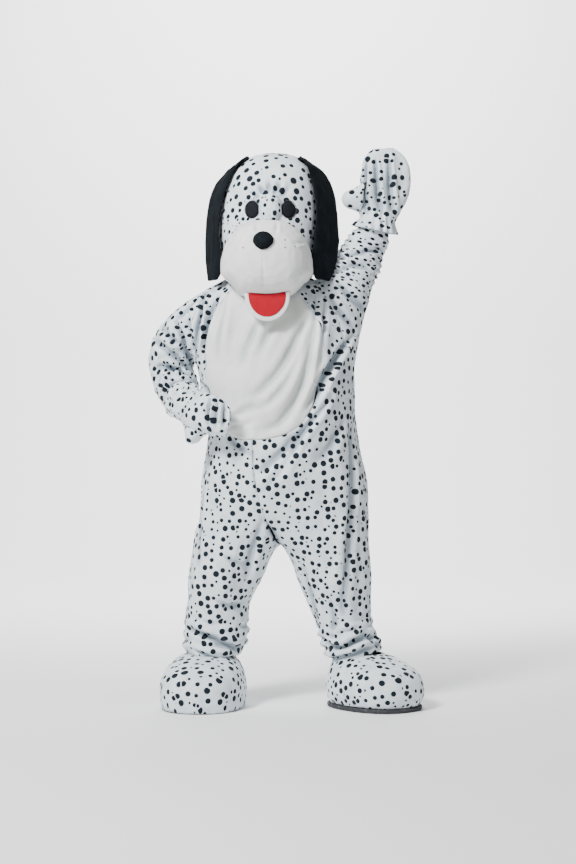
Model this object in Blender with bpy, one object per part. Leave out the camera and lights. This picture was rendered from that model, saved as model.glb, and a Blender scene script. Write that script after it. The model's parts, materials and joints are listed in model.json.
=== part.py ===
# Spotted dog costume, worn: a loose jumpsuit with mitts, boot covers and a big padded dog head.
# Metres. x runs to the wearer's left, -y to the front, z up. The tables give heights above the floor;
# the parent empty then moves the floor down, so that the origin lies between the wearer's shoulders.

import math

import bmesh
import bpy
from mathutils import Matrix, Vector
from mathutils.bvhtree import BVHTree

# Driving sizes
HOLD_HEIGHT = 1.400
CLOTH = 0.002
HEAD_WALL = 0.008
BOOT_WALL = 0.005
SEAM_GAP = 0.0004
SEAM_SHARE = 0.75
RELAX_PULL = 0.6
CROTCH_DIP = 0.045
TOUCH_GAP = 0.0004
ROUNDNESS = 0.9

# How finely the cloth is divided
FRONT_QUARTER = 12
BACK_QUARTER = 9
TORSO_ROWS = 20
LEG_ROWS = 12
CROTCH_COLUMNS = 5
SLEEVE_ROWS = 12
HEAD_COLUMNS = 28
BOOT_COLUMNS = 24

TORSO_COLUMNS = 2 * (FRONT_QUARTER + BACK_QUARTER)
HALF = FRONT_QUARTER + BACK_QUARTER

WHITE = (0.86, 0.89, 0.90)
CREAM = (0.86, 0.88, 0.86)
BLACK = (0.012, 0.016, 0.020)
RED = (0.80, 0.04, 0.09)
GREY = (0.09, 0.10, 0.12)
METAL = (0.62, 0.62, 0.60)


def table(columns, rows):
    """Rows of a short table, each as a dictionary of its named columns."""
    names = columns.split()
    return [dict(zip(names, row)) for row in rows]


# The torso from the neck edge down to the crotch. Front and back are half depths, side_lift raises
# the sides over the shoulders, and turn swings the centre front towards the wearer's right.
TORSO = table("station height centre_x half_width front back side_lift turn", [
    (0, 1.418, 0.004, 0.108, 0.088, 0.096, 0.030, -4),
    (1, 1.394, 0.004, 0.148, 0.114, 0.124, 0.046, -4),
    (2, 1.364, 0.002, 0.190, 0.138, 0.145, 0.054, -5),
    (3, 1.326, 0.000, 0.226, 0.158, 0.156, 0.046, -6),
    (4, 1.288, 0.006, 0.250, 0.176, 0.162, 0.030, -7),
    (5, 1.245, 0.012, 0.268, 0.182, 0.166, 0.012, -8),
    (6, 1.200, 0.016, 0.276, 0.188, 0.168, 0.003, -9),
    (8, 1.112, 0.022, 0.268, 0.196, 0.166, 0.000, -12),
    (10, 1.024, 0.036, 0.256, 0.202, 0.165, 0.000, -16),
    (12, 0.936, 0.050, 0.249, 0.200, 0.168, 0.000, -20),
    (14, 0.850, 0.052, 0.257, 0.194, 0.178, 0.000, -21),
    (16, 0.765, 0.057, 0.276, 0.186, 0.184, 0.000, -19),
    (18, 0.682, 0.059, 0.292, 0.176, 0.180, 0.000, -16),
    (20, 0.605, 0.055, 0.298, 0.164, 0.168, 0.000, -13),
])

# Each leg from under the crotch to its elastic hem, bunched above the boot.
LEG_RIGHT = table("station height centre_x centre_y half_width half_depth", [
    (0, 0.562, -0.108, 0.000, 0.146, 0.152),
    (1, 0.515, -0.120, 0.000, 0.141, 0.146),
    (2, 0.468, -0.132, 0.001, 0.136, 0.140),
    (3, 0.420, -0.144, 0.003, 0.126, 0.130),
    (4, 0.375, -0.157, 0.006, 0.111, 0.122),
    (5, 0.335, -0.168, 0.008, 0.103, 0.116),
    (6, 0.300, -0.172, 0.010, 0.108, 0.117),
    (7, 0.272, -0.174, 0.010, 0.123, 0.122),
    (8, 0.248, -0.170, 0.009, 0.104, 0.108),
    (9, 0.228, -0.171, 0.006, 0.105, 0.106),
    (10, 0.212, -0.185, 0.000, 0.121, 0.110),
    (11, 0.196, -0.188, -0.004, 0.114, 0.102),
    (12, 0.184, -0.186, -0.008, 0.098, 0.086),
])
LEG_LEFT = table("station height centre_x centre_y half_width half_depth", [
    (0, 0.562, 0.195, 0.000, 0.159, 0.152),
    (1, 0.515, 0.205, 0.000, 0.148, 0.146),
    (2, 0.468, 0.214, 0.001, 0.136, 0.138),
    (3, 0.420, 0.224, 0.003, 0.125, 0.130),
    (4, 0.375, 0.231, 0.006, 0.115, 0.122),
    (5, 0.335, 0.241, 0.008, 0.106, 0.116),
    (6, 0.300, 0.249, 0.010, 0.099, 0.112),
    (7, 0.272, 0.256, 0.010, 0.094, 0.108),
    (8, 0.248, 0.263, 0.009, 0.094, 0.104),
    (9, 0.226, 0.272, 0.006, 0.099, 0.106),
    (10, 0.206, 0.282, 0.000, 0.107, 0.106),
    (11, 0.188, 0.288, -0.004, 0.107, 0.102),
    (12, 0.172, 0.291, -0.008, 0.096, 0.088),
])

# Sleeves and mitts follow paths. Lean turns a section's direction from straight up towards the
# wearer's left, and swing turns it to the front, in degrees. Half_out and half_deep are its radii.
PATH = "station x y z lean swing half_out half_deep"
SLEEVE_LEFT = table(PATH, [
    (0, 0.237, 0.000, 1.322, 54, 5, 0.110, 0.096),
    (1, 0.256, 0.010, 1.364, 42, 0, 0.098, 0.092),
    (2, 0.275, 0.024, 1.417, 30, -5, 0.087, 0.084),
    (3, 0.298, 0.032, 1.473, 27, -3, 0.077, 0.076),
    (4, 0.322, 0.032, 1.527, 22, 0, 0.073, 0.070),
    (5, 0.343, 0.027, 1.567, 17, 2, 0.064, 0.060),
    (6, 0.357, 0.020, 1.598, 12, 4, 0.052, 0.049),
    (7, 0.366, 0.014, 1.628, 9, 5, 0.043, 0.040),
])
SLEEVE_RIGHT = table(PATH, [
    (0, -0.258, 0.000, 1.287, -92, 0, 0.103, 0.096),
    (1, -0.276, 0.006, 1.273, -112, -3, 0.089, 0.090),
    (2, -0.300, 0.018, 1.243, -138, -10, 0.079, 0.082),
    (3, -0.325, 0.038, 1.195, -160, -8, 0.078, 0.080),
    (4, -0.331, 0.050, 1.138, -182, 5, 0.074, 0.078),
    (5, -0.315, 0.040, 1.085, -208, 30, 0.073, 0.074),
    (6, -0.298, -0.002, 1.046, -222, 50, 0.066, 0.064),
    (7, -0.280, -0.052, 1.019, -232, 55, 0.055, 0.053),
    (8, -0.264, -0.094, 1.004, -238, 54, 0.045, 0.042),
])
MITT_LEFT = table(PATH, [
    (2, 0.376, 0.007, 1.655, 6, 3, 0.066, 0.038),
    (3, 0.386, 0.001, 1.690, 3, 2, 0.082, 0.040),
    (4, 0.390, -0.002, 1.728, 1, 0, 0.089, 0.037),
    (5, 0.392, -0.004, 1.766, 0, -2, 0.090, 0.033),
    (6, 0.392, -0.006, 1.802, -1, -4, 0.086, 0.029),
    (7, 0.390, -0.008, 1.832, -2, -5, 0.075, 0.024),
    (8, 0.388, -0.010, 1.854, -2, -6, 0.056, 0.016),
    (9, 0.386, -0.012, 1.867, -3, -6, 0.032, 0.000),
])
MITT_RIGHT = table(PATH, [
    (2, -0.248, -0.122, 0.992, -242, 51, 0.062, 0.038),
    (3, -0.226, -0.154, 0.979, -249, 48, 0.071, 0.042),
    (4, -0.203, -0.182, 0.969, -255, 43, 0.073, 0.041),
    (5, -0.181, -0.204, 0.961, -260, 38, 0.073, 0.039),
    (6, -0.161, -0.221, 0.956, -264, 33, 0.070, 0.035),
    (7, -0.144, -0.232, 0.952, -266, 29, 0.062, 0.029),
    (8, -0.131, -0.238, 0.950, -267, 26, 0.050, 0.020),
    (9, -0.124, -0.241, 0.949, -267, 25, 0.034, 0.000),
])
THUMB_LEFT = table(PATH, [
    (0, 0.326, 0.000, 1.690, -82, 2, 0.040, 0.032),
    (1, 0.298, -0.003, 1.697, -84, 4, 0.042, 0.038),
    (2, 0.272, -0.005, 1.699, -88, 5, 0.037, 0.035),
    (3, 0.255, -0.006, 1.697, -92, 5, 0.023, 0.022),
])
THUMB_RIGHT = table(PATH, [
    (0, -0.232, -0.146, 0.922, -186, 20, 0.034, 0.030),
    (1, -0.240, -0.147, 0.905, -182, 12, 0.034, 0.033),
    (2, -0.245, -0.147, 0.890, -180, 8, 0.030, 0.029),
    (3, -0.247, -0.147, 0.880, -178, 5, 0.019, 0.018),
])

# The largest folds of the front, as seen from the front: a line from x0, z0 to x1, z1, bowed
# sideways at its middle. Rise is its height out of the cloth, below zero for a trough.
FOLDS = table("x0 z0 x1 z1 bow width rise", [
    (0.292, 1.215, 0.170, 0.960, 0.010, 0.026, 0.025),
    (0.262, 1.190, 0.150, 0.965, 0.010, 0.022, -0.019),
    (0.172, 0.960, -0.015, 0.705, -0.018, 0.026, 0.025),
    (0.150, 0.960, 0.060, 0.810, -0.010, 0.026, -0.022),
    (0.182, 0.930, 0.105, 0.880, -0.004, 0.024, 0.012),
    (0.288, 0.930, 0.292, 0.330, 0.006, 0.028, -0.020),
    (0.255, 0.860, 0.262, 0.260, 0.004, 0.028, 0.016),
    (-0.225, 0.640, -0.240, 0.330, -0.006, 0.024, 0.012),
    (-0.062, 0.560, -0.088, 0.300, 0.010, 0.030, -0.016),
    (0.110, 0.500, 0.190, 0.300, 0.010, 0.028, -0.012),
    (-0.150, 1.380, -0.235, 1.120, 0.012, 0.022, -0.022),
    (-0.182, 1.390, -0.250, 1.170, 0.010, 0.020, 0.016),
    (-0.118, 1.370, -0.196, 1.100, 0.010, 0.022, 0.016),
    (0.140, 1.300, 0.045, 1.120, -0.010, 0.024, -0.019),
    (0.050, 1.290, -0.060, 1.150, -0.008, 0.026, -0.016),
    (-0.080, 1.300, -0.110, 1.150, 0.000, 0.026, -0.012),
    (0.132, 1.115, 0.045, 0.935, -0.022, 0.024, -0.016),
    (0.165, 1.290, 0.175, 1.120, 0.000, 0.022, 0.016),
])

# Folds of the back, which the photograph doesn't show: drag lines from the arms and the seat.
BACK_FOLDS = table("x0 z0 x1 z1 bow width rise", [
    (0.230, 1.220, 0.090, 1.000, 0.015, 0.030, -0.022),
    (-0.215, 1.200, -0.080, 1.010, -0.015, 0.030, -0.022),
    (0.255, 1.080, 0.110, 0.880, 0.020, 0.030, 0.019),
    (-0.165, 1.060, -0.060, 0.900, -0.010, 0.028, 0.016),
    (0.030, 0.690, 0.200, 0.600, 0.020, 0.032, -0.019),
    (0.010, 0.690, -0.150, 0.600, -0.020, 0.032, -0.019),
    (0.245, 0.560, 0.262, 0.300, 0.010, 0.028, -0.019),
    (-0.150, 0.560, -0.185, 0.300, -0.010, 0.028, -0.019),
])

# The belly panel: half its width as an angle round the torso, and where its outline turns.
BELLY_COLUMNS = 6
BELLY_SIDE_ROWS = 7
BELLY_BOTTOM_ROWS = 6
BELLY_HALF_ANGLE = table("station degrees", [(0, 26), (2, 34), (4, 41), (6, 45), (7, 46)])
BELLY_DEPTH_STATIONS = 6.1
BELLY_ROUNDNESS = 0.82

# How far a sleeve's folds stand out, as a share of its radius.
SLEEVE_FOLD = 0.075

# Round a thigh, how far inside its middle the torso's front and back edges meet it, in degrees.
INNER_THIGH_ANGLE = 54

# The slack above the elastic hems: from which leg row, and how much it bulges, drops and gathers.
BUNCH_ROW = 5
BUNCH_RISE = 0.006
BUNCH_DROP = 0.003
HEM_GATHER = 0.04

# The armholes on the torso's grid, three columns to either side of each arm.
ARM_HALF_COLUMNS = 3
ARM_TOP_ROW = 2
ARM_BOTTOM_ROW = 8


# The head: each ring's share of the way from its rim to the crown, its half sizes and how far it
# leans over to the left.
HEAD_CENTRE_X = 0.004
HEAD_TURN = -4
HEAD_TOP = 1.860
HEAD_RIM_FRONT = 1.364
HEAD_RIM_SIDE = 1.447
HEAD_RIM_BACK = 1.389
HEAD_RIM_CURVE = 3
HEAD_ROUNDNESS = 0.94
HEAD = table("share half_width front back lean", [
    (0.00, 0.148, 0.176, 0.158, 0.000),
    (0.10, 0.158, 0.177, 0.163, 0.000),
    (0.21, 0.166, 0.175, 0.168, 0.000),
    (0.33, 0.171, 0.172, 0.172, 0.000),
    (0.45, 0.172, 0.170, 0.175, 0.002),
    (0.57, 0.168, 0.165, 0.173, 0.004),
    (0.68, 0.160, 0.157, 0.166, 0.007),
    (0.78, 0.148, 0.144, 0.152, 0.010),
    (0.87, 0.129, 0.125, 0.131, 0.014),
    (0.94, 0.098, 0.094, 0.099, 0.017),
    (0.98, 0.057, 0.055, 0.058, 0.018),
])
HEAD_CROWN_LEAN = 0.019
HULL_DROP = 0.150
HULL_FLARE = 1.6
MERGE = 0.00005
RAISE_STEP = 0.0002

# Padded pieces of the face, as rounded bodies that are cut back to what they lie on.
# Taper makes a piece wider towards its top and narrower towards its bottom.
PADS = table("name finish x y z wide deep high taper power columns rings", [
    ("muzzle", "plain", 0.003, -0.130, 1.486, 0.150, 0.165, 0.131, -0.14, 0.81, 24, 14),
    ("nose_bridge", "spotted", 0.021, -0.142, 1.653, 0.047, 0.046, 0.049, 0.0, 0.76, 14, 8),
    ("nose", "dark", 0.004, -0.292, 1.534, 0.0345, 0.024, 0.031, 0.10, 1.10, 14, 8),
])
MOUTH_TOP = 1.394
MOUTH_X = 0.011
MOUTH_Y = -0.215
MOUTH_RADIUS = 0.074
MOUTH_MIDDLE = 1.361
MOUTH_HEIGHT = 0.081
MOUTH_THICK = 0.012
FELT_RADIUS = 0.062
FELT_HEIGHT = 0.069
FELT_THICK = 0.002
MOUTH_STEPS = 16
MOUTH_EASE = 0.003
EYE_MIDDLE = 0.016
EYE_SPREAD = 0.0600
EYE_HEIGHT = 1.650
EYE_HALF_WIDTH = 0.0228
EYE_HALF_HEIGHT = 0.028
EYE_NEAR = -0.30
EYE_FAR = -0.05

# An ear from its root to its tip. Turn swings its width from front-to-back towards its side. Lean
# follows the head's lean, and tuck is how much closer to the head the right ear lies.
EAR = table("x y z half_width turn thick lean tuck", [
    (0.088, -0.014, 1.829, 0.058, 0, 0.012, 0.018, 0.000),
    (0.120, -0.016, 1.823, 0.066, -8, 0.013, 0.017, 0.000),
    (0.147, -0.019, 1.802, 0.071, -18, 0.013, 0.015, 0.000),
    (0.166, -0.024, 1.762, 0.075, -25, 0.013, 0.011, 0.000),
    (0.183, -0.030, 1.705, 0.075, -25, 0.013, 0.008, 0.000),
    (0.197, -0.038, 1.632, 0.074, -24, 0.013, 0.004, 0.006),
    (0.204, -0.048, 1.565, 0.073, -24, 0.013, 0.002, 0.014),
    (0.203, -0.062, 1.500, 0.070, -23, 0.013, 0.000, 0.016),
    (0.198, -0.076, 1.455, 0.058, -22, 0.012, 0.000, 0.012),
    (0.194, -0.084, 1.424, 0.034, -20, 0.010, 0.000, 0.005),
])
EAR_SECTION = [(-1, 0), (-0.82, 0.75), (-0.4, 1), (0, 1), (0.4, 1), (0.82, 0.75), (1, 0)]
EAR_CLEAR = 0.0006

# A mitt's cuff lies over the last sleeve rows: rows back from the sleeve's end, and the lift.
MITT_CUFF = [(2, 0.010), (1, 0.007), (0, 0.0026)]
FINGER_COLUMNS = (3, 6, 9)
FINGER_START = 4
FINGER_GROOVE = 0.16
THUMB_TOP_ROW = 3
THUMB_ROWS = 3
THUMB_HALF_COLUMNS = 2
THUMB_TIP_ROUND = 0.6

# The zip down the back seam. The slider and the pull are plates with one window each, in metres
# along and out from the zip, or across and along it.
ZIP_ROWS = 11
ZIP_LIFT = 0.0012
ZIP_HALF_GAP = 0.0009
ZIP_TAPE_WIDTH = 0.013
ZIP_TAPE_THICK = 0.0012
ZIP_SLIDER_SHARE = 0.45
SLIDER_HALF_WIDTH = 0.003
SLIDER_OUTLINE = [(-0.007, 0.0), (0.0, 0.0), (0.007, 0.0), (0.007, 0.003),
                  (0.004, 0.0069), (0.0, 0.0069), (-0.004, 0.0069), (-0.007, 0.003)]
SLIDER_TUNNEL = [(-0.0022, 0.0031), (0.0, 0.0031), (0.0022, 0.0031), (0.0022, 0.0044),
                 (0.0022, 0.0057), (0.0, 0.0057), (-0.0022, 0.0057), (-0.0022, 0.0044)]
PULL_AXIS_HEIGHT = 0.0044
PULL_HALF_THICK = 0.0007
PULL_OUTLINE = [(-0.005, 0.0007), (0.0, 0.0007), (0.005, 0.0007), (0.005, -0.006),
                (0.0042, -0.022), (0.0, -0.024), (-0.0042, -0.022), (-0.005, -0.006)]
PULL_EYE = [(-0.0036, -0.0007), (0.0, -0.0007), (0.0036, -0.0007), (0.0036, -0.0035),
            (0.0036, -0.0072), (0.0, -0.0072), (-0.0036, -0.0072), (-0.0036, -0.0035)]

# The boot covers: the upper from its sole edge to its ankle opening, and where each boot stands.
BOOT_ROUNDNESS = 0.86
BOOT = table("z half_width half_length heel shift slope", [
    (0.0148, 0.130, 0.174, 0.88, 0.000, 0.000),
    (0.042, 0.141, 0.188, 0.87, 0.000, 0.000),
    (0.080, 0.142, 0.190, 0.86, 0.000, 0.000),
    (0.120, 0.132, 0.174, 0.85, -0.002, -0.004),
    (0.149, 0.113, 0.142, 0.90, -0.018, -0.008),
    (0.168, 0.087, 0.099, 0.98, -0.040, -0.006),
    (0.178, 0.058, 0.062, 1.00, -0.050, -0.003),
])
BOOTS = {
    "left": {"x": 0.350, "y": -0.050, "turn": 38, "inset": 0.0},
    "right": {"x": -0.213, "y": -0.052, "turn": -10, "inset": 0.003},
}
SOLE_HEIGHT = 0.014
SOLE_LEVELS = ((0.0, 0.003), (0.003, 0.006), (0.011, 0.006), (SOLE_HEIGHT, 0.003))
HEM_REST = 0.0006
HEM_DROP = 0.016
HEM_FOLLOW = (1.0, 0.88, 0.72, 0.52, 0.3, 0.12, 0.0)
DRAPE_ROUNDS = 60
DRAPE_STEP = 0.6
SEAT_ROUNDS = 30
SEAT_DONE = 0.0001
SEAT_REACH = 0.002
DRAPE_SOFTNESS = 0.06


def read(rows, station):
    """Every column of a table at a station, on a smooth curve through its rows."""
    keys = [row["station"] for row in rows]
    station = min(max(station, keys[0]), keys[-1])
    k = max(i for i in range(len(keys) - 1) if keys[i] <= station)
    span = keys[k + 1] - keys[k]
    t = (station - keys[k]) / span
    result = {}
    for name in rows[0]:
        values = [row[name] for row in rows]
        slopes = []
        for i in (k, k + 1):
            before = max(i - 1, 0)
            after = min(i + 1, len(keys) - 1)
            slopes.append((values[after] - values[before]) / (keys[after] - keys[before]) * span)
        start, end = values[k], values[k + 1]
        result[name] = (
            start * (2 * t**3 - 3 * t**2 + 1)
            + slopes[0] * (t**3 - 2 * t**2 + t)
            + end * (3 * t**2 - 2 * t**3)
            + slopes[1] * (t**3 - t**2)
        )
    return result


def soft_power(value, power):
    """A signed power, which squares off or rounds an ellipse."""
    return math.copysign(abs(value) ** power, value)


class Skin:
    """A cloth surface: its points, and its faces, each of one cut panel."""

    def __init__(self):
        self.points = []
        self.faces = []
        self.panels = []

    def add(self, point):
        self.points.append(Vector(point))
        return len(self.points) - 1

    def face(self, corners, panel):
        self.faces.append(tuple(corners))
        self.panels.append(panel)

    def band(self, upper, lower, panel_of_column):
        """Quads between two closed rings of the same count."""
        count = len(upper)
        for i in range(count):
            j = (i + 1) % count
            self.face((upper[i], upper[j], lower[j], lower[i]), panel_of_column(i))

    def linked(self):
        """The neighbours of each point along the faces' edges."""
        near = [set() for _ in self.points]
        for corners in self.faces:
            for a, b in zip(corners, corners[1:] + corners[:1]):
                near[a].add(b)
                near[b].add(a)
        return near

    def relax(self, seeds, reach, rounds, held=()):
        """Smooths the cloth round some points, less and less up to reach steps away."""
        near = self.linked()
        distance = {point: 0 for point in seeds}
        edge = list(seeds)
        for step in range(1, reach + 1):
            edge = {n for point in edge for n in near[point] if n not in distance}
            distance.update({point: step for point in edge})
        held = set(held)
        for _ in range(rounds):
            moved = {}
            for point, steps in distance.items():
                if point in held or not near[point]:
                    continue
                middle = sum((self.points[n] for n in near[point]), Vector()) / len(near[point])
                moved[point] = self.points[point].lerp(middle, RELAX_PULL * (1 - steps / (reach + 1)))
            for point, place in moved.items():
                self.points[point] = place

    def orient(self, outside):
        """Turns all faces the same way, with the named face index pointing along outside."""
        mesh = bmesh.new()
        verts = [mesh.verts.new(point) for point in self.points]
        faces = [mesh.faces.new([verts[c] for c in corners]) for corners in self.faces]
        bmesh.ops.recalc_face_normals(mesh, faces=mesh.faces)
        mesh.verts.index_update()
        mesh.normal_update()
        index, direction = outside
        flip = faces[index].normal.dot(direction) < 0
        for i, face in enumerate(faces):
            corners = tuple(v.index for v in face.verts)
            self.faces[i] = corners[::-1] if flip else corners
        mesh.free()

    def face_normal(self, corners):
        a, b, c = (self.points[corners[i]] for i in (0, 1, 2))
        d = self.points[corners[-1]]
        return (c - a).cross(d - b)

    def normals(self):
        """The outward direction at each point, shared by all the panels that meet there."""
        total = [Vector() for _ in self.points]
        for corners in self.faces:
            direction = self.face_normal(corners)
            for corner in corners:
                total[corner] += direction
        return [direction.normalized() for direction in total]

    def push(self, height_at):
        """Moves each point along its normal by height_at(point, normal)."""
        normals = self.normals()
        heights = [height_at(p, n) for p, n in zip(self.points, normals)]
        self.points = [p + n * h for p, n, h in zip(self.points, normals, heights)]

    def split(self, corners):
        """A face as triangles, split along its shorter diagonal."""
        if len(corners) == 3:
            return [corners]
        a, b, c, d = corners
        if (self.points[a] - self.points[c]).length <= (self.points[b] - self.points[d]).length:
            return [(a, b, c), (a, c, d)]
        return [(a, b, d), (b, c, d)]

    def wall(self, panel, thickness):
        """One cut panel as a closed wall, drawn back from its seams by half the seam gap."""
        chosen = [corners for corners, owner in zip(self.faces, self.panels) if owner == panel]
        others = {c for corners, owner in zip(self.faces, self.panels) if owner != panel
                  for c in corners}
        normals = self.normals()
        used = sorted({c for corners in chosen for c in corners})
        pull = {c: Vector() for c in used if c in others}
        for corners in chosen:
            centre = sum((self.points[c] for c in corners), Vector()) / len(corners)
            for c in corners:
                if c in pull:
                    pull[c] += (centre - self.points[c]).normalized()
        place = {}
        for c in used:
            place[c] = self.points[c].copy()
            if c in pull:
                inward = pull[c] - normals[c] * pull[c].dot(normals[c])
                if inward.length > 1e-6:
                    place[c] += inward.normalized() * SEAM_GAP * SEAM_SHARE
        order = {c: i for i, c in enumerate(used)}
        count = len(used)
        points = [place[c] for c in used] + [place[c] - normals[c] * thickness for c in used]
        pieces = [piece for corners in chosen for piece in self.split(corners)]
        faces = [[order[c] for c in piece] for piece in pieces]
        faces += [[order[c] + count for c in reversed(piece)] for piece in pieces]
        directed = {(a, b) for corners in chosen for a, b in zip(corners, corners[1:] + corners[:1])}
        for a, b in sorted(directed):
            if (b, a) not in directed:
                faces.append([order[b], order[a], order[a] + count, order[b] + count])
        return points, faces


def material(name, colour, roughness, metallic=0.0):
    """A plain finish for one kind of cloth."""
    found = bpy.data.materials.get(name)
    if found:
        return found
    made = bpy.data.materials.new(name)
    made.use_nodes = True
    shader = made.node_tree.nodes["Principled BSDF"]
    shader.inputs["Base Color"].default_value = (*colour, 1)
    shader.inputs["Roughness"].default_value = roughness
    shader.inputs["Metallic"].default_value = metallic
    return made


def make_object(name, points, faces, finish, parent):
    """A named solid with its faces pointing outwards."""
    mesh = bpy.data.meshes.new(name)
    mesh.from_pydata([tuple(p) for p in points], [], faces)
    work = bmesh.new()
    work.from_mesh(mesh)
    bmesh.ops.recalc_face_normals(work, faces=work.faces)
    if work.calc_volume(signed=True) < 0:
        bmesh.ops.reverse_faces(work, faces=work.faces)
    work.to_mesh(mesh)
    work.free()
    mesh.shade_smooth()
    mesh.set_sharp_from_angle(angle=math.radians(50))
    made = bpy.data.objects.new(name, mesh)
    made.data.materials.append(finish)
    made.parent = parent
    bpy.context.scene.collection.objects.link(made)
    return made


def column_angle(column):
    """The direction of a grid column: the front has finer columns than the back."""
    signed = column if column <= HALF else column - TORSO_COLUMNS
    size = abs(signed)
    turn = min(size, FRONT_QUARTER) / FRONT_QUARTER + max(0, size - FRONT_QUARTER) / BACK_QUARTER
    return math.copysign(turn * math.pi / 2, signed)


def torso_point(angle, station):
    """A point on the torso's cloth. Angle 0 is the centre front, and it grows to the left arm."""
    row = read(TORSO, station)
    turned = angle + math.radians(row["turn"])
    across, ahead = math.sin(turned), math.cos(turned)
    depth = row["front"] if ahead > 0 else row["back"]
    return Vector((
        row["centre_x"] + row["half_width"] * soft_power(across, ROUNDNESS),
        -depth * soft_power(ahead, ROUNDNESS),
        row["height"] + row["side_lift"] * across**2,
    ))


def belly_outline():
    """Grid row and column of each point on the belly panel's edge, with its angle and station."""
    edge = {}
    for row in range(BELLY_SIDE_ROWS):
        half = math.radians(read(BELLY_HALF_ANGLE, row)["degrees"])
        for side in (-1, 1):
            edge[row, side * BELLY_COLUMNS] = (side * half, row)
    widest = math.radians(BELLY_HALF_ANGLE[-1]["degrees"])
    steps = 2 * (BELLY_BOTTOM_ROWS + BELLY_COLUMNS)
    last_row = BELLY_SIDE_ROWS + BELLY_BOTTOM_ROWS
    for k in range(steps + 1):
        turn = math.pi * k / steps
        angle = -widest * soft_power(math.cos(turn), BELLY_ROUNDNESS)
        station = BELLY_SIDE_ROWS + BELLY_DEPTH_STATIONS * soft_power(math.sin(turn), BELLY_ROUNDNESS)
        if k <= BELLY_BOTTOM_ROWS:
            place = (BELLY_SIDE_ROWS + k, -BELLY_COLUMNS)
        elif k >= steps - BELLY_BOTTOM_ROWS:
            place = (BELLY_SIDE_ROWS + steps - k, BELLY_COLUMNS)
        else:
            place = (last_row, k - BELLY_BOTTOM_ROWS - BELLY_COLUMNS)
        edge[place] = (angle, station)
    return edge


def torso_grid(skin):
    """Points of the torso, with its grid lines drawn along the belly panel's edge."""
    fixed = {(row, column % TORSO_COLUMNS): (angle - column_angle(column), station - row)
             for (row, column), (angle, station) in belly_outline().items()}
    shift = {(row, column): fixed.get((row, column), (0.0, 0.0))
             for row in range(TORSO_ROWS + 1) for column in range(TORSO_COLUMNS)}
    free = [place for place in shift if place not in fixed and place[0] < TORSO_ROWS]
    for _ in range(60):
        for row, column in free:
            around = [shift[max(row - 1, 0), column], shift[row + 1, column],
                      shift[row, (column - 1) % TORSO_COLUMNS],
                      shift[row, (column + 1) % TORSO_COLUMNS]]
            slide = sum(s[1] for s in around) / 4 if row else 0.0
            shift[row, column] = (sum(s[0] for s in around) / 4, slide)
    return {(row, column): skin.add(torso_point(column_angle(column) + turn, row + slide))
            for (row, column), (turn, slide) in shift.items()}


def path_ring(row, mirror, columns, grow=0.0):
    """One section of a sleeve or mitt, starting on its outer side and turning to the front."""
    lean, swing = math.radians(row["lean"]), math.radians(row["swing"])
    centre = Vector((row["x"], row["y"], row["z"]))
    along = Vector((math.sin(lean) * math.cos(swing), -math.sin(swing),
                    math.cos(lean) * math.cos(swing)))
    out = Vector((-math.cos(lean), 0, math.sin(lean))) * mirror
    front = along.cross(out) * mirror
    ring = []
    for i in range(columns):
        turn = 2 * math.pi * i / columns
        ring.append(centre + out * (row["half_out"] + grow) * math.cos(turn)
                    + front * (row["half_deep"] + grow) * math.sin(turn))
    return ring


def follow(loop, ring):
    """The order in which a ring's points best follow a loop of the same count."""
    count = len(loop)
    orders = [[(start + way * i) % count for i in range(count)]
              for way in (1, -1) for start in range(count)]
    return min(orders, key=lambda order: sum((a - ring[i]).length for a, i in zip(loop, order)))


def branch(skin, loop, rings, panel_of_column):
    """A tube that grows out of a loop of the cloth. Its first ring is the loop's new place."""
    order = follow([skin.points[c] for c in loop], rings[0])
    for c, i in zip(loop, order):
        skin.points[c] = rings[0][i]
    previous = loop
    made = [loop]
    for ring in rings[1:]:
        current = [skin.add(ring[i]) for i in order]
        skin.band(previous, current, panel_of_column)
        previous = current
        made.append(current)
    return made


def grid_loop(grid, top, bottom, first, last, columns):
    """The loop of points round a patch of a grid, and the patch's own inner places."""
    across = list(range(first, last + 1))
    down = list(range(top, bottom + 1))
    places = [(top, c) for c in across] + [(r, last) for r in down[1:]]
    places += [(bottom, c) for c in across[-2::-1]] + [(r, first) for r in down[-2:0:-1]]
    return [grid[r, c % columns] for r, c in places]


def sleeve_rings(path, mirror, columns):
    """Sections along a sleeve, with the folds that a bent, loose sleeve gathers in."""
    last = path[-1]["station"]
    rings = []
    for k in range(SLEEVE_ROWS + 1):
        share = k / SLEEVE_ROWS
        row = read(path, share * last)
        ring = path_ring(row, mirror, columns)
        centre = Vector((row["x"], row["y"], row["z"]))
        swell = SLEEVE_FOLD * math.sin(math.pi * share) ** 0.5 if 0 < share < 1 else 0.0
        fold = math.cos(2 * math.pi * k / 3 + 0.6)
        turns = [2 * math.pi * i / columns for i in range(columns)]
        ring = [centre + (p - centre) * (1 + swell * fold * (1 + 0.5 * math.cos(t + 2.4)))
                for p, t in zip(ring, turns)]
        rings.append(ring)
    return rings


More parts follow.
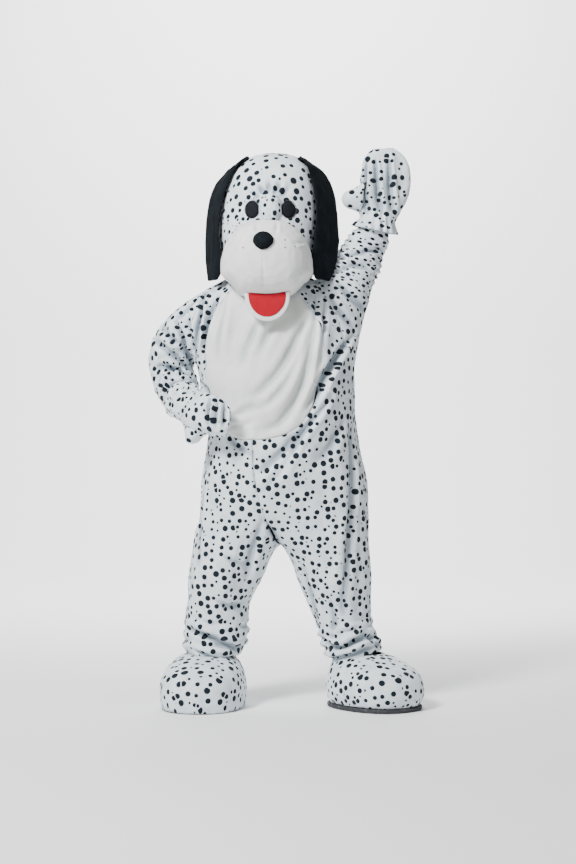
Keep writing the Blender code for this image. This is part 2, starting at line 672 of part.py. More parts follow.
def build_legs(skin, grid):
    """Both legs below the torso, which share the crotch seam."""
    front, back = skin.points[grid[TORSO_ROWS, 0]], skin.points[grid[TORSO_ROWS, HALF]]
    crotch = []
    for k in range(1, CROTCH_COLUMNS + 1):
        share = k / (CROTCH_COLUMNS + 1)
        place = back.lerp(front, share)
        place.z -= CROTCH_DIP * math.sin(math.pi * share)
        crotch.append(skin.add(place))
    count = HALF + CROTCH_COLUMNS + 1
    inseam = HALF + (CROTCH_COLUMNS + 1) // 2
    inner = math.radians(INNER_THIGH_ANGLE)
    turns = [-inner + (math.pi / 2 + inner) * i / FRONT_QUARTER for i in range(FRONT_QUARTER)]
    turns += [math.pi / 2 + (math.pi / 2 + inner) * i / BACK_QUARTER for i in range(BACK_QUARTER)]
    rest = CROTCH_COLUMNS + 1
    turns += [math.pi + inner + (math.pi - 2 * inner) * i / rest for i in range(rest)]
    hems = {}
    for side, rows in (("left", LEG_LEFT), ("right", LEG_RIGHT)):
        sign = 1 if side == "left" else -1
        ring = [grid[TORSO_ROWS, (sign * k) % TORSO_COLUMNS] for k in range(HALF + 1)] + crotch

        def panel_of(i, side=side):
            facing = "front" if i < FRONT_QUARTER or i >= inseam else "back"
            return f"{facing}_{side}"

        made = [ring]
        for k in range(LEG_ROWS + 1):
            row = read(rows, k)
            gather = HEM_GATHER * max(0.0, k - (LEG_ROWS - 2)) / 2
            slack = max(0.0, (k - BUNCH_ROW) / (LEG_ROWS - BUNCH_ROW))
            lower = []
            for i, turn in enumerate(turns):
                wide = 1 + gather * math.cos(math.pi * i)
                bunch = BUNCH_RISE * slack * math.sin(3 * turn + 1.7 * k)
                lower.append(skin.add((
                    row["centre_x"] + sign * (row["half_width"] * wide + bunch) * math.sin(turn),
                    row["centre_y"] - (row["half_depth"] * wide + bunch) * math.cos(turn),
                    row["height"] + BUNCH_DROP * slack * math.sin(2 * turn + k),
                )))
            skin.band(ring, lower, panel_of)
            ring = lower
            made.append(ring)
        hems[side] = made
    return crotch, hems


def fold_height(point, normal, folds, facing):
    """How far the folds of one side move the cloth at a point."""
    if normal.y * facing <= 0.05:
        return 0.0
    place = Vector((point.x, point.z))
    total = 0.0
    for fold in folds:
        start, end = Vector((fold["x0"], fold["z0"])), Vector((fold["x1"], fold["z1"]))
        line = end - start
        share = min(max((place - start).dot(line) / line.length_squared, 0.0), 1.0)
        aside = Vector((line.y, -line.x)).normalized() * fold["bow"] * math.sin(math.pi * share)
        distance = (place - start - line * share - aside).length
        taper = math.sin(math.pi * min(max(share * 0.9 + 0.05, 0.0), 1.0)) ** 0.5
        total += fold["rise"] * taper * math.exp(-((distance / fold["width"]) ** 2))
    return total * min(1.0, abs(normal.y) * 1.6)


def build_suit():
    """The whole jumpsuit as one skin, with its grid and the rings of its sleeves and legs."""
    skin = Skin()
    grid = torso_grid(skin)
    arms = {"left": FRONT_QUARTER, "right": TORSO_COLUMNS - FRONT_QUARTER}

    def torso_panel(row, column):
        signed = column if column < HALF else column - TORSO_COLUMNS
        if row < BELLY_SIDE_ROWS + BELLY_BOTTOM_ROWS and -BELLY_COLUMNS <= signed < BELLY_COLUMNS:
            return "belly"
        facing = "front" if -FRONT_QUARTER <= signed < FRONT_QUARTER else "back"
        return f"{facing}_{'left' if signed >= 0 else 'right'}"

    for row in range(TORSO_ROWS):
        for column in range(TORSO_COLUMNS):
            in_armhole = any(abs(column + 0.5 - middle) < ARM_HALF_COLUMNS for middle in arms.values())
            if in_armhole and ARM_TOP_ROW <= row < ARM_BOTTOM_ROW:
                continue
            after = (column + 1) % TORSO_COLUMNS
            corners = (grid[row, column], grid[row, after], grid[row + 1, after], grid[row + 1, column])
            skin.face(corners, torso_panel(row, column))
    sleeves, armholes = {}, []
    for side, path, mirror in (("left", SLEEVE_LEFT, 1), ("right", SLEEVE_RIGHT, -1)):
        middle = arms[side]
        loop = grid_loop(grid, ARM_TOP_ROW, ARM_BOTTOM_ROW, middle - ARM_HALF_COLUMNS,
                         middle + ARM_HALF_COLUMNS, TORSO_COLUMNS)
        rings = sleeve_rings(path, mirror, len(loop))
        sleeves[side] = branch(skin, loop, rings, lambda i, side=side: f"sleeve_{side}")
        armholes += loop
    crotch, legs = build_legs(skin, grid)
    belly = [grid[row, column % TORSO_COLUMNS] for row, column in belly_outline()]
    neck = [grid[0, column] for column in range(TORSO_COLUMNS)]
    skin.relax(armholes, 4, 14, held=belly + neck)
    skin.relax(crotch + [grid[TORSO_ROWS, column] for column in range(TORSO_COLUMNS)], 3, 14)
    front_face = skin.panels.index("belly")
    skin.orient((front_face, Vector((0, -1, 0))))
    skin.push(lambda p, n: fold_height(p, n, FOLDS, -1) + fold_height(p, n, BACK_FOLDS, 1))
    return skin, grid, sleeves, legs


def build_mitt(name, path, thumb, sleeve, suit_normals, suit, mirror, front_panel):
    """One mitt: its cuff lies over the sleeve's end, and its rings run on to a sewn tip."""
    skin = Skin()
    count = len(sleeve[-1])
    first = path_ring(read(path, path[0]["station"]), mirror, count)
    order = follow(first, [suit.points[c] for c in sleeve[-1]])
    rings = []
    for back_rows, lift in MITT_CUFF:
        ring = sleeve[-1 - back_rows]
        rings.append([skin.add(suit.points[ring[i]] + suit_normals[ring[i]] * lift) for i in order])
    last = path[-1]["station"]
    half = count // 2
    for station in range(path[0]["station"], last + 1):
        row = read(path, station)
        ring = path_ring(row, mirror, count)
        middle = Vector((row["x"], row["y"], row["z"]))
        if station == last:
            seam = [skin.add(ring[i]) for i in range(half + 1)]
            rings.append([seam[i if i <= half else count - i] for i in range(count)])
            continue
        groove = [FINGER_GROOVE if i % half in FINGER_COLUMNS and station >= FINGER_START else 0.0
                  for i in range(count)]
        thin = [p - middle for p in ring]
        rings.append([skin.add(middle + t * (1 - g)) for t, g in zip(thin, groove)])
    facing = {True: front_panel, False: "back" if front_panel == "palm" else "palm"}
    hole_rows = range(THUMB_TOP_ROW, THUMB_TOP_ROW + THUMB_ROWS)
    hole_columns = [c % count for c in range(-THUMB_HALF_COLUMNS, THUMB_HALF_COLUMNS)]
    for k in range(len(rings) - 1):
        for i in range(count):
            if k in hole_rows and i in hole_columns:
                continue
            j = (i + 1) % count
            corners = []
            for c in (rings[k][i], rings[k][j], rings[k + 1][j], rings[k + 1][i]):
                if c not in corners:
                    corners.append(c)
            if len(corners) > 2:
                skin.face(corners, f"{name}_{facing[i < half]}")
    grid = {(k, i): c for k, ring in enumerate(rings) for i, c in enumerate(ring)}
    loop = grid_loop(grid, THUMB_TOP_ROW, THUMB_TOP_ROW + THUMB_ROWS, -THUMB_HALF_COLUMNS,
                     THUMB_HALF_COLUMNS, count)
    thumb_rings = [path_ring(read(thumb, k), mirror, len(loop)) for k in range(len(thumb))]
    made = branch(skin, loop, thumb_rings, lambda i: f"{name}_thumb")
    tip = made[-1]
    end = sum((skin.points[c] for c in tip), Vector()) / len(tip)
    root = sum((skin.points[c] for c in made[-2]), Vector()) / len(tip)
    pole = skin.add(end + (end - root) * THUMB_TIP_ROUND)
    for i, c in enumerate(tip):
        skin.face((c, tip[(i + 1) % len(tip)], pole), f"{name}_thumb")
    skin.relax(loop, 2, 4, held=rings[0] + rings[1] + rings[2])
    outward = max(range(len(skin.faces)), key=lambda f: -skin.points[skin.faces[f][0]].y)
    skin.orient((outward, Vector((0, -1, 0))))
    return skin


def build_head():
    """The padded head shell, with its front, back and side seams, as a skin about its own centre."""
    skin = Skin()
    rings = []
    half = HEAD_COLUMNS // 2
    for k in range(len(HEAD)):
        row = HEAD[k]
        ring = []
        for i in range(HEAD_COLUMNS):
            turn = 2 * math.pi * i / HEAD_COLUMNS
            across, ahead = math.sin(turn), math.cos(turn)
            depth = row["front"] if ahead > 0 else row["back"]
            rim = HEAD_RIM_FRONT if ahead > 0 else HEAD_RIM_BACK
            base = rim + (HEAD_RIM_SIDE - rim) * abs(across) ** HEAD_RIM_CURVE
            share = row["share"]
            ring.append(skin.add((
                row["lean"] + row["half_width"] * soft_power(across, HEAD_ROUNDNESS),
                -depth * soft_power(ahead, HEAD_ROUNDNESS),
                base + (HEAD_TOP - base) * share,
            )))
        rings.append(ring)

    def panel_of(i):
        if i < half // 2 or i >= HEAD_COLUMNS - half // 2:
            return "head_front"
        return "head_back_left" if i < half else "head_back_right"

    for upper, lower in zip(rings[1:], rings):
        skin.band(upper, lower, panel_of)
    crown = skin.add((HEAD_CROWN_LEAN, 0, HEAD_TOP))
    for i in range(HEAD_COLUMNS):
        skin.face((rings[-1][i], rings[-1][(i + 1) % HEAD_COLUMNS], crown), panel_of(i))
    skin.orient((0, Vector((0, -1, 0))))
    return skin, rings


def hull(skin, rim, grow):
    """A closed body on a skin with one open rim, grown by a small gap and flared below the rim."""
    normals = skin.normals()
    points = [p + n * grow for p, n in zip(skin.points, normals)]
    faces = [list(piece) for corners in skin.faces for piece in skin.split(corners)]
    low = [len(points) + i for i in range(len(rim))]
    points += [Vector((points[c].x * HULL_FLARE, points[c].y * HULL_FLARE, points[c].z - HULL_DROP))
               for c in rim]
    for i, c in enumerate(rim):
        j = (i + 1) % len(rim)
        faces.append([c, rim[j], low[j], low[i]])
    faces.append(low)
    return points, faces


def pad_body(pad, grow):
    """A padded piece of the face, made larger all round by grow."""
    centre = Vector((pad["x"], pad["y"], pad["z"]))
    radii = Vector((pad["wide"] + grow, pad["deep"] + grow, pad["high"] + grow))
    points, faces = dome_pad(centre, radii, pad["power"], pad["columns"], pad["rings"])
    for p in points:
        p.x = centre.x + (p.x - centre.x) * (1 + pad["taper"] * (p.z - centre.z) / radii.z)
    return points, faces


def dome_pad(centre, radii, power, columns, rings):
    """A closed padded body: a superellipsoid about a centre, as points and faces."""
    points = [centre + Vector((0, -radii.y, 0))]
    faces = []
    for k in range(1, rings):
        tilt = math.pi * k / rings
        for i in range(columns):
            turn = 2 * math.pi * i / columns
            points.append(centre + Vector((
                radii.x * soft_power(math.sin(turn), power) * soft_power(math.sin(tilt), power),
                -radii.y * soft_power(math.cos(tilt), power),
                radii.z * soft_power(math.cos(turn), power) * soft_power(math.sin(tilt), power),
            )))
    points.append(centre + Vector((0, radii.y, 0)))
    last = len(points) - 1
    for i in range(columns):
        j = (i + 1) % columns
        faces.append([0, 1 + i, 1 + j])
        for k in range(rings - 2):
            row = 1 + k * columns
            faces.append([row + i, row + columns + i, row + columns + j, row + j])
        row = 1 + (rings - 2) * columns
        faces.append([row + i, last, row + j])
    return points, faces


def boolean(target, cutter, operation):
    """Applies an exact Boolean between two solids and keeps the target's finish."""
    change = target.modifiers.new("cut", "BOOLEAN")
    change.operation = operation
    change.solver = "EXACT"
    change.object = cutter
    bpy.context.view_layer.update()
    graph = bpy.context.evaluated_depsgraph_get()
    mesh = bpy.data.meshes.new_from_object(target.evaluated_get(graph))
    target.modifiers.remove(change)
    work = bmesh.new()
    work.from_mesh(mesh)
    bmesh.ops.remove_doubles(work, verts=work.verts, dist=MERGE)
    bmesh.ops.dissolve_degenerate(work, edges=work.edges, dist=MERGE)
    bmesh.ops.triangulate(work, faces=[f for f in work.faces if len(f.verts) > 4])
    work.to_mesh(mesh)
    work.free()
    old = target.data
    finish = old.materials[0]
    target.data = mesh
    mesh.materials.clear()
    mesh.materials.append(finish)
    bpy.data.meshes.remove(old)
    mesh.shade_smooth()
    mesh.set_sharp_from_angle(angle=math.radians(50))


def remove(thing):
    """Takes away a helper solid."""
    mesh = thing.data
    bpy.data.objects.remove(thing, do_unlink=True)
    bpy.data.meshes.remove(mesh)


def tree_of(thing):
    """A search tree of a solid in its own frame."""
    return BVHTree.FromPolygons([v.co for v in thing.data.vertices],
                                [p.vertices for p in thing.data.polygons])


def stack(outline, axis, levels):
    """A closed solid over an outline: each level has its offset along the axis and its growth."""
    middle = sum(outline, Vector()) / len(outline)
    count = len(outline)
    points, faces = [], []
    for offset, grow in levels:
        for p in outline:
            points.append(p + (p - middle).normalized() * grow + axis * offset)
    for k in range(len(levels) - 1):
        for i in range(count):
            j = (i + 1) % count
            faces.append([k * count + i, k * count + j, (k + 1) * count + j, (k + 1) * count + i])
    faces.append(list(range(count)))
    faces.append([(len(levels) - 1) * count + i for i in reversed(range(count))])
    return points, faces


def oval(x, z, half_width, half_height, count):
    """An upright oval outline."""
    turns = [2 * math.pi * i / count for i in range(count)]
    return [Vector((x + half_width * math.sin(t), 0, z + half_height * math.cos(t))) for t in turns]


def half_disc(radius, height, y):
    """The outline of a mouth: a straight upper edge, short sides and a round lower edge."""
    turns = [math.pi * i / MOUTH_STEPS for i in range(MOUTH_STEPS + 1)]
    low = [Vector((MOUTH_X + radius * math.cos(t), y, MOUTH_MIDDLE - height * math.sin(t)))
           for t in turns]
    return low + [Vector((MOUTH_X + x, y, MOUTH_TOP)) for x in (-radius, radius)]


def build_ear(rows, side, head_tree):
    """A hanging flap: a padded leaf whose inner face keeps clear of the head."""
    points, faces = [], []
    grid = {}
    for k, row in enumerate(rows):
        turn = math.radians(row["turn"])
        wide = Vector((side * math.sin(turn), -math.cos(turn), 0))
        after, before = rows[min(k + 1, len(rows) - 1)], rows[max(k - 1, 0)]
        along = Vector((side * (after["x"] - before["x"]), after["y"] - before["y"],
                        after["z"] - before["z"])).normalized()
        out = along.cross(wide).normalized()
        if out.x * side < 0 or (abs(out.x) < 0.3 and out.z < 0):
            out = -out
        for c, (across, thick) in enumerate(EAR_SECTION):
            x = row["lean"] + side * row["x"] + (row["tuck"] if side < 0 else 0.0)
            middle = Vector((x, row["y"], row["z"])) + wide * across * row["half_width"]
            half_thick = thick * row["thick"] / 2
            found, normal, _, _ = head_tree.find_nearest(middle)
            space = (middle - found).dot(normal)
            needed = half_thick + EAR_CLEAR
            if space < needed:
                middle += normal * (needed - space)
            for layer, sign in (("out", 1), ("in", -1)):
                if thick == 0 and layer == "in":
                    grid[k, c, layer] = grid[k, c, "out"]
                    continue
                grid[k, c, layer] = len(points)
                points.append(middle + out * half_thick * sign)
    last_row, last_column = len(rows) - 1, len(EAR_SECTION) - 1
    for layer in ("out", "in"):
        for k in range(last_row):
            for c in range(last_column):
                faces.append([grid[k, c, layer], grid[k, c + 1, layer],
                              grid[k + 1, c + 1, layer], grid[k + 1, c, layer]])
    for k in (0, last_row):
        for c in range(last_column):
            corners = []
            for corner in (grid[k, c, "out"], grid[k, c + 1, "out"], grid[k, c + 1, "in"],
                           grid[k, c, "in"]):
                if corner not in corners:
                    corners.append(corner)
            faces.append(corners)
    return points, faces


def build_boot(place):
    """One boot cover: a domed upper with an ankle opening, and its sole outline."""
    turn = math.radians(place["turn"])
    toe = Vector((math.sin(turn), -math.cos(turn), 0))
    aside = Vector((math.cos(turn), math.sin(turn), 0))
    centre = Vector((place["x"], place["y"], 0))

    def ring_at(row):
        ring = []
        for i in range(BOOT_COLUMNS):
            angle = 2 * math.pi * i / BOOT_COLUMNS
            ahead, across = math.cos(angle), math.sin(angle)
            length = row["half_length"] * (1 if ahead > 0 else row["heel"])
            ring.append(centre + toe * (row["shift"] + length * soft_power(ahead, BOOT_ROUNDNESS))
                        + aside * row["half_width"] * soft_power(across, BOOT_ROUNDNESS)
                        + Vector((0, 0, row["z"] + row["slope"] * ahead)))
        return ring

    skin = Skin()
    previous = None
    for row in BOOT:
        current = [skin.add(p) for p in ring_at(row)]
        if previous:
            skin.band(previous, current, lambda i: "upper")
        previous = current
    skin.orient((BOOT_COLUMNS * 2, toe))
    return skin, ring_at(BOOT[0])


def drape(skin, rings, tree, clear):
    """Lets the last rows of a leg hang, then pushes them out of what they rest on."""
    lifts = []
    for c in rings[-1]:
        place = skin.points[c]
        hit = tree.ray_cast(Vector((place.x, place.y, 1.0)), Vector((0, 0, -1)))[0]
        lifts.append(max(hit.z + clear - place.z, -HEM_DROP) if hit else -HEM_DROP)
    for ring, share in zip(reversed(rings), HEM_FOLLOW):
        for c, lift in zip(ring, lifts):
            skin.points[c].z += lift * share
    hanging = rings[-len(HEM_FOLLOW):]
    near = {c for ring in hanging for c in ring}
    faces = [corners for corners in skin.faces if all(c in near for c in corners)]
    for _ in range(DRAPE_ROUNDS):
        pushes = {}
        for corners in faces:
            places = [skin.points[c] for c in corners]
            samples = [sum(places, Vector()) / len(places)]
            samples += [a.lerp(b, 0.5) for a, b in zip(places, places[1:] + places[:1])]
            for sample in samples + places:
                found, normal, _, _ = tree.find_nearest(sample)
                short = clear - (sample - found).dot(normal)
                for c in corners:
                    if short > pushes.get(c, Vector()).length:
                        pushes[c] = normal * short
        for c, push in pushes.items():
            skin.points[c] += push * DRAPE_STEP
        for above, ring, below in zip(hanging, hanging[1:], hanging[2:] + [None]):
            count = len(ring)
            for i, c in enumerate(ring):
                beside = (skin.points[ring[i - 1]] + skin.points[ring[(i + 1) % count]]) / 2
                beside.z = (skin.points[c].z + beside.z) / 2
                if below:
                    beside = (beside + skin.points[above[i]] + skin.points[below[i]]) / 3
                skin.points[c] = skin.points[c].lerp(beside, DRAPE_SOFTNESS)


def seat_hem(skin, ring, tree):
    """Brings the closest stretch of a hem down onto what it rests on, short of the touch gap."""
    for _ in range(SEAT_ROUNDS):
        normals = skin.normals()
        inner = [skin.points[c] - normals[c] * CLOTH for c in ring]
        gaps, ways = [], []
        for i, place in enumerate(inner):
            beside = [place.lerp(inner[i - 1], 0.5), place.lerp(inner[(i + 1) % len(ring)], 0.5)]
            found = [tree.find_nearest(p) for p in [place] + beside]
            near = [(p - hit[0]).dot(hit[1]) for p, hit in zip([place] + beside, found)]
            gaps.append(min(near))
            ways.append(found[near.index(min(near))][1])
        excess = min(gaps) - TOUCH_GAP
        if excess < SEAT_DONE:
            break
        least = min(gaps)
        for c, gap, way in zip(ring, gaps, ways):
            if gap < least + SEAT_REACH:
                skin.points[c] -= way * excess


def lower_onto(frame, pieces, others):
    """Lowers a frame with its pieces until they touch the others, then lifts it by the touch gap."""
    bpy.context.view_layer.update()
    trees = [world_tree(other) for other in others]
    while not any(world_tree(piece).overlap(tree) for piece in pieces for tree in trees):
        frame.location.z -= RAISE_STEP
        bpy.context.view_layer.update()
    frame.location.z += RAISE_STEP + TOUCH_GAP
    bpy.context.view_layer.update()


def raise_clear(thing, others, direction):
    """Moves a piece along a direction until it is clear of the others by the touch gap."""
    bpy.context.view_layer.update()
    trees = [world_tree(other) for other in others]
    while any(world_tree(thing).overlap(tree) for tree in trees):
        thing.location += direction * RAISE_STEP
        bpy.context.view_layer.update()
    thing.location += direction * TOUCH_GAP
    bpy.context.view_layer.update()


def world_tree(thing):
    """A search tree of a solid in the common frame."""
    place = thing.matrix_world
    return BVHTree.FromPolygons([place @ v.co for v in thing.data.vertices],
                                [p.vertices for p in thing.data.polygons])


def zip_frame(suit, grid):
    """The place and directions of the back zip's slider: across, up along the zip, and outwards."""
    centre = suit.points[grid[0, HALF]].lerp(suit.points[grid[1, HALF]], ZIP_SLIDER_SHARE)
    across = (suit.points[grid[0, HALF + 1]] - suit.points[grid[0, HALF - 1]]).normalized()
    up = suit.points[grid[0, HALF]] - suit.points[grid[1, HALF]]
    up = (up - across * up.dot(across)).normalized()
    out = across.cross(up)
    return centre + out * (ZIP_LIFT + ZIP_TAPE_THICK), across, up, out


def zip_tape(suit, grid, sign):
    """One tape of the back zip: a strip that lies along one side of the back seam."""
    points, faces = [], []
    for row in range(ZIP_ROWS + 1):
        seam = suit.points[grid[row, HALF]]
        beside = Vector()
        for near in range(max(row - 1, 0), row + 2):
            beside += (suit.points[grid[near, HALF - sign]] - suit.points[grid[near, HALF]]).normalized()
        beside.normalize()
        down = suit.points[grid[row + 1, HALF]] - suit.points[grid[max(row - 1, 0), HALF]]
        out = beside.cross(down).normalized()
        if out.y < 0:
            out = -out
        for height in (ZIP_LIFT, ZIP_LIFT + ZIP_TAPE_THICK):
            for reach in (ZIP_HALF_GAP, ZIP_TAPE_WIDTH):
                points.append(seam + beside * reach + out * height)
    for row in range(ZIP_ROWS):
        a, b = 4 * row, 4 * row + 4
        for i, j in ((0, 1), (1, 3), (2, 3), (0, 2)):
            faces.append([a + i, a + j, b + j])
            faces.append([a + i, b + j, b + i])
    last = 4 * ZIP_ROWS
    faces.append([0, 1, 3, 2])
    faces.append([last + 2, last + 3, last + 1, last])
    return points, faces


def ring_prism(outer, inner, half_thick):
    """A closed plate with one window: two loops of the same count, thick along z."""
    count = len(outer)
    points = []
    for z in (-half_thick, half_thick):
        points += [Vector((x, y, z)) for x, y in outer] + [Vector((x, y, z)) for x, y in inner]
    faces = []
    for i in range(count):
        j = (i + 1) % count
        faces.append([i, j, count + j, count + i])
        faces.append([2 * count + i, 3 * count + i, 3 * count + j, 2 * count + j])
        faces.append([i, 2 * count + i, 2 * count + j, j])
        faces.append([count + i, count + j, 3 * count + j, 3 * count + i])
    return points, faces


def turned(columns, place):
    """A matrix with the given direction columns and place."""
    matrix = Matrix(columns).transposed().to_4x4()
    matrix.translation = place
    return matrix


def build_zip(suit, grid, base, metal, tape):
    """The back zip: two tapes, a slider with its bridge, and the pull that hangs in the bridge."""
    backs = [bpy.data.objects["back_left"], bpy.data.objects["back_right"]]
    for side, sign in (("left", 1), ("right", -1)):
        strip = make_object(f"zip_tape_{side}", *zip_tape(suit, grid, sign), tape, base)
        raise_clear(strip, backs, Vector((0, 1, 0)))
    centre, across, up, out = zip_frame(suit, grid)
    slider = make_object("zip_slider", *ring_prism(SLIDER_OUTLINE, SLIDER_TUNNEL, SLIDER_HALF_WIDTH),
                         metal, base)
    slider.matrix_local = turned((up, out, up.cross(out)), centre)
    tapes = [bpy.data.objects["zip_tape_left"], bpy.data.objects["zip_tape_right"]]
    raise_clear(slider, tapes, out)
    centre = slider.location.copy()
    hinge = bpy.data.objects.new("pull_axis", None)
    hinge.parent = base
    hinge.matrix_local = turned((across, up, out), centre + out * PULL_AXIS_HEIGHT)
    bpy.context.scene.collection.objects.link(hinge)
    make_object("zip_pull", *ring_prism(PULL_OUTLINE, PULL_EYE, PULL_HALF_THICK), metal, hinge)


def clear_scene():
    """Removes what the file starts with."""
    for thing in list(bpy.data.objects):
        bpy.data.objects.remove(thing, do_unlink=True)


def main():
    """Builds every piece of the costume."""
    clear_scene()
    base = bpy.data.objects.new("floor_frame", None)
    base.location = (0, 0, -HOLD_HEIGHT)
    bpy.context.scene.collection.objects.link(base)
    finishes = {
        "spotted": material("spotted_plush", WHITE, 0.9),
        "plain": material("white_plush", CREAM, 0.9),
        "dark": material("black_plush", BLACK, 0.85),
        "felt": material("red_felt", RED, 0.8),
        "mesh": material("eye_mesh", GREY, 0.7),
        "rubber": material("black_rubber", BLACK, 0.6),
        "tape": material("white_tape", CREAM, 0.8),
        "metal": material("zip_metal", METAL, 0.35, 1.0),
    }
    suit, grid, sleeves, legs = build_suit()
    for side, place in BOOTS.items():
        upper, outline = build_boot(place)
        make_object(f"boot_{side}", *upper.wall("upper", BOOT_WALL), finishes["spotted"], base)
        boot_tree = BVHTree.FromPolygons(upper.points, upper.faces)
        drape(suit, legs[side], boot_tree, CLOTH + HEM_REST)
        seat_hem(suit, legs[side][-1], boot_tree)
        flat = [Vector((p.x, p.y, 0)) for p in outline]
        levels = [(rise, grow - place["inset"]) for rise, grow in SOLE_LEVELS]
        sole = stack(flat, Vector((0, 0, 1)), levels)
        make_object(f"sole_{side}", *sole, finishes["rubber"], base)
    for panel in sorted(set(suit.panels)):
        finish = finishes["plain" if panel == "belly" else "spotted"]
        make_object(panel, *suit.wall(panel, CLOTH), finish, base)
    normals = suit.normals()
    for side, path, thumb, mirror, facing in (
            ("left", MITT_LEFT, THUMB_LEFT, 1, "palm"), ("right", MITT_RIGHT, THUMB_RIGHT, -1, "back")):
        mitt = build_mitt(f"mitt_{side}", path, thumb, sleeves[side], normals, suit, mirror, facing)
        for panel in sorted(set(mitt.panels)):
            make_object(panel, *mitt.wall(panel, CLOTH), finishes["spotted"], base)
    build_zip(suit, grid, base, finishes["metal"], finishes["tape"])
    neck = bpy.data.objects.new("head_frame", None)
    neck.parent = base
    neck.location = (HEAD_CENTRE_X, 0, 0)
    neck.rotation_euler = (0, 0, math.radians(HEAD_TURN))
    bpy.context.scene.collection.objects.link(neck)
    head, rings = build_head()
    for panel in sorted(set(head.panels)):
        make_object(panel, *head.wall(panel, HEAD_WALL), finishes["spotted"], neck)
    build_face(head, rings, neck, finishes)
    cloth = [bpy.data.objects[name] for name in sorted(set(suit.panels))]
    lower_onto(neck, list(neck.children), cloth)


def build_face(head, rings, neck, finishes):
    """The eyes, muzzle, nose, mouth and ears, each cut back to what it lies on."""
    head_hull = make_object("head_hull", *hull(head, rings[0], TOUCH_GAP), finishes["plain"], neck)
    front = bpy.data.objects["head_front"]
    for side, x in (("left", EYE_MIDDLE + EYE_SPREAD), ("right", EYE_MIDDLE - EYE_SPREAD)):
        outline = oval(x, EYE_HEIGHT, EYE_HALF_WIDTH, EYE_HALF_HEIGHT, 20)
        toward = Vector((0, 1, 0))
        plug = make_object(f"eye_mesh_{side}", *stack(outline, toward, ((EYE_NEAR, 0), (EYE_FAR, 0))),
                           finishes["mesh"], neck)
        boolean(plug, front, "INTERSECT")
        hole = make_object("hole", *stack(outline, toward, ((EYE_NEAR, SEAM_GAP), (EYE_FAR, SEAM_GAP))),
                           finishes["mesh"], neck)
        boolean(front, hole, "DIFFERENCE")
        remove(hole)
    pads = {pad["name"]: make_object(pad["name"], *pad_body(pad, 0), finishes[pad["finish"]], neck)
            for pad in PADS}
    muzzle_hull = make_object("muzzle_hull", *pad_body(PADS[0], TOUCH_GAP), finishes["plain"], neck)
    thick, y = MOUTH_THICK, MOUTH_Y
    flap = half_disc(MOUTH_RADIUS, MOUTH_HEIGHT, y)
    toward = Vector((0, 1, 0))
    levels = ((-thick / 2, -MOUTH_EASE), (MOUTH_EASE - thick / 2, 0), (thick / 2 - MOUTH_EASE, 0),
              (thick / 2, -MOUTH_EASE))
    mouth = make_object("mouth_flap", *stack(flap, toward, levels), finishes["plain"], neck)
    lip = half_disc(FELT_RADIUS, FELT_HEIGHT, y - thick / 2 - TOUCH_GAP)
    felt = make_object("mouth_felt", *stack(lip, toward, ((-FELT_THICK, 0), (0, 0))),
                       finishes["felt"], neck)
    boolean(pads["muzzle"], head_hull, "DIFFERENCE")
    boolean(pads["nose_bridge"], head_hull, "DIFFERENCE")
    for piece in (pads["nose_bridge"], pads["nose"], mouth, felt):
        boolean(piece, muzzle_hull, "DIFFERENCE")
    head_tree = tree_of(head_hull)
    for side, sign in (("left", 1), ("right", -1)):
        ear = make_object(f"ear_{side}", *build_ear(EAR, sign, head_tree), finishes["dark"], neck)
        boolean(ear, head_hull, "DIFFERENCE")
    remove(head_hull)
    remove(muzzle_hull)


main()
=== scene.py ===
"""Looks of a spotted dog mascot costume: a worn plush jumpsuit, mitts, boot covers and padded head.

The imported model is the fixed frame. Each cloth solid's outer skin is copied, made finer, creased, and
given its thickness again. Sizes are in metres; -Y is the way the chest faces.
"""

import heapq
import json
import logging
import math
from dataclasses import dataclass, field
from enum import Enum
from typing import Iterable, Sequence

import bmesh
import bpy
import numpy as np
from mathutils import Matrix, Vector, noise
from mathutils.bvhtree import BVHTree
from mathutils.kdtree import KDTree

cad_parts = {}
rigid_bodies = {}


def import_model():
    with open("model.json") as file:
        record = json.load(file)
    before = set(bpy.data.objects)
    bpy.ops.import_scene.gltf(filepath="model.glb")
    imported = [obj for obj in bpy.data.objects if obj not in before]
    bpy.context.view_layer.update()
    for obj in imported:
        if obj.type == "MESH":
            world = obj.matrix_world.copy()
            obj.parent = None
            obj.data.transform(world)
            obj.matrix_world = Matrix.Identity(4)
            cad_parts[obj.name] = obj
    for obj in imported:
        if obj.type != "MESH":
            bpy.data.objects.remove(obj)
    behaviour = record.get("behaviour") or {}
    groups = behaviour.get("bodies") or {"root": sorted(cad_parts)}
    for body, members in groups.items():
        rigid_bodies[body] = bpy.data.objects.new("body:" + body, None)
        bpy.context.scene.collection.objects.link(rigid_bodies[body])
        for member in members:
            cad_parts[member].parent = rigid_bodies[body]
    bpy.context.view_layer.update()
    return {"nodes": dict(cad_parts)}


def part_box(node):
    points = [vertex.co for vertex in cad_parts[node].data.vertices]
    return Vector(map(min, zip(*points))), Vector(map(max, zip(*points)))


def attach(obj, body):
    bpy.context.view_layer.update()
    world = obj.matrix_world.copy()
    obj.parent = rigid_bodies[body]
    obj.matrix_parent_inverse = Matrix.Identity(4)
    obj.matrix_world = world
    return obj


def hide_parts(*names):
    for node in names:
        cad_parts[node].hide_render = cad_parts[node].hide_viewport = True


LOG = logging.getLogger("dog_costume")
# The point attribute for the painted shade in fold troughs, and the sink at which that shade is full.
HOLLOW = "trough_shade"
HOLLOW_DEPTH = 0.0085
WELD = 0.00002
SHARP_RIM = math.radians(52)
WRINKLE_SEED = 7
PAIR_TILT = math.radians(50)
PAIR_SKEW = math.radians(60)
LOOK_FROM = 2.0
FAR_OFF = 9.0
INWARD = Vector((0.0, 1.0, 0.0))
MIX_FACTOR, MIX_FIRST, MIX_SECOND, MIX_RESULT = 0, 6, 7, 2
Colour = tuple[float, float, float]
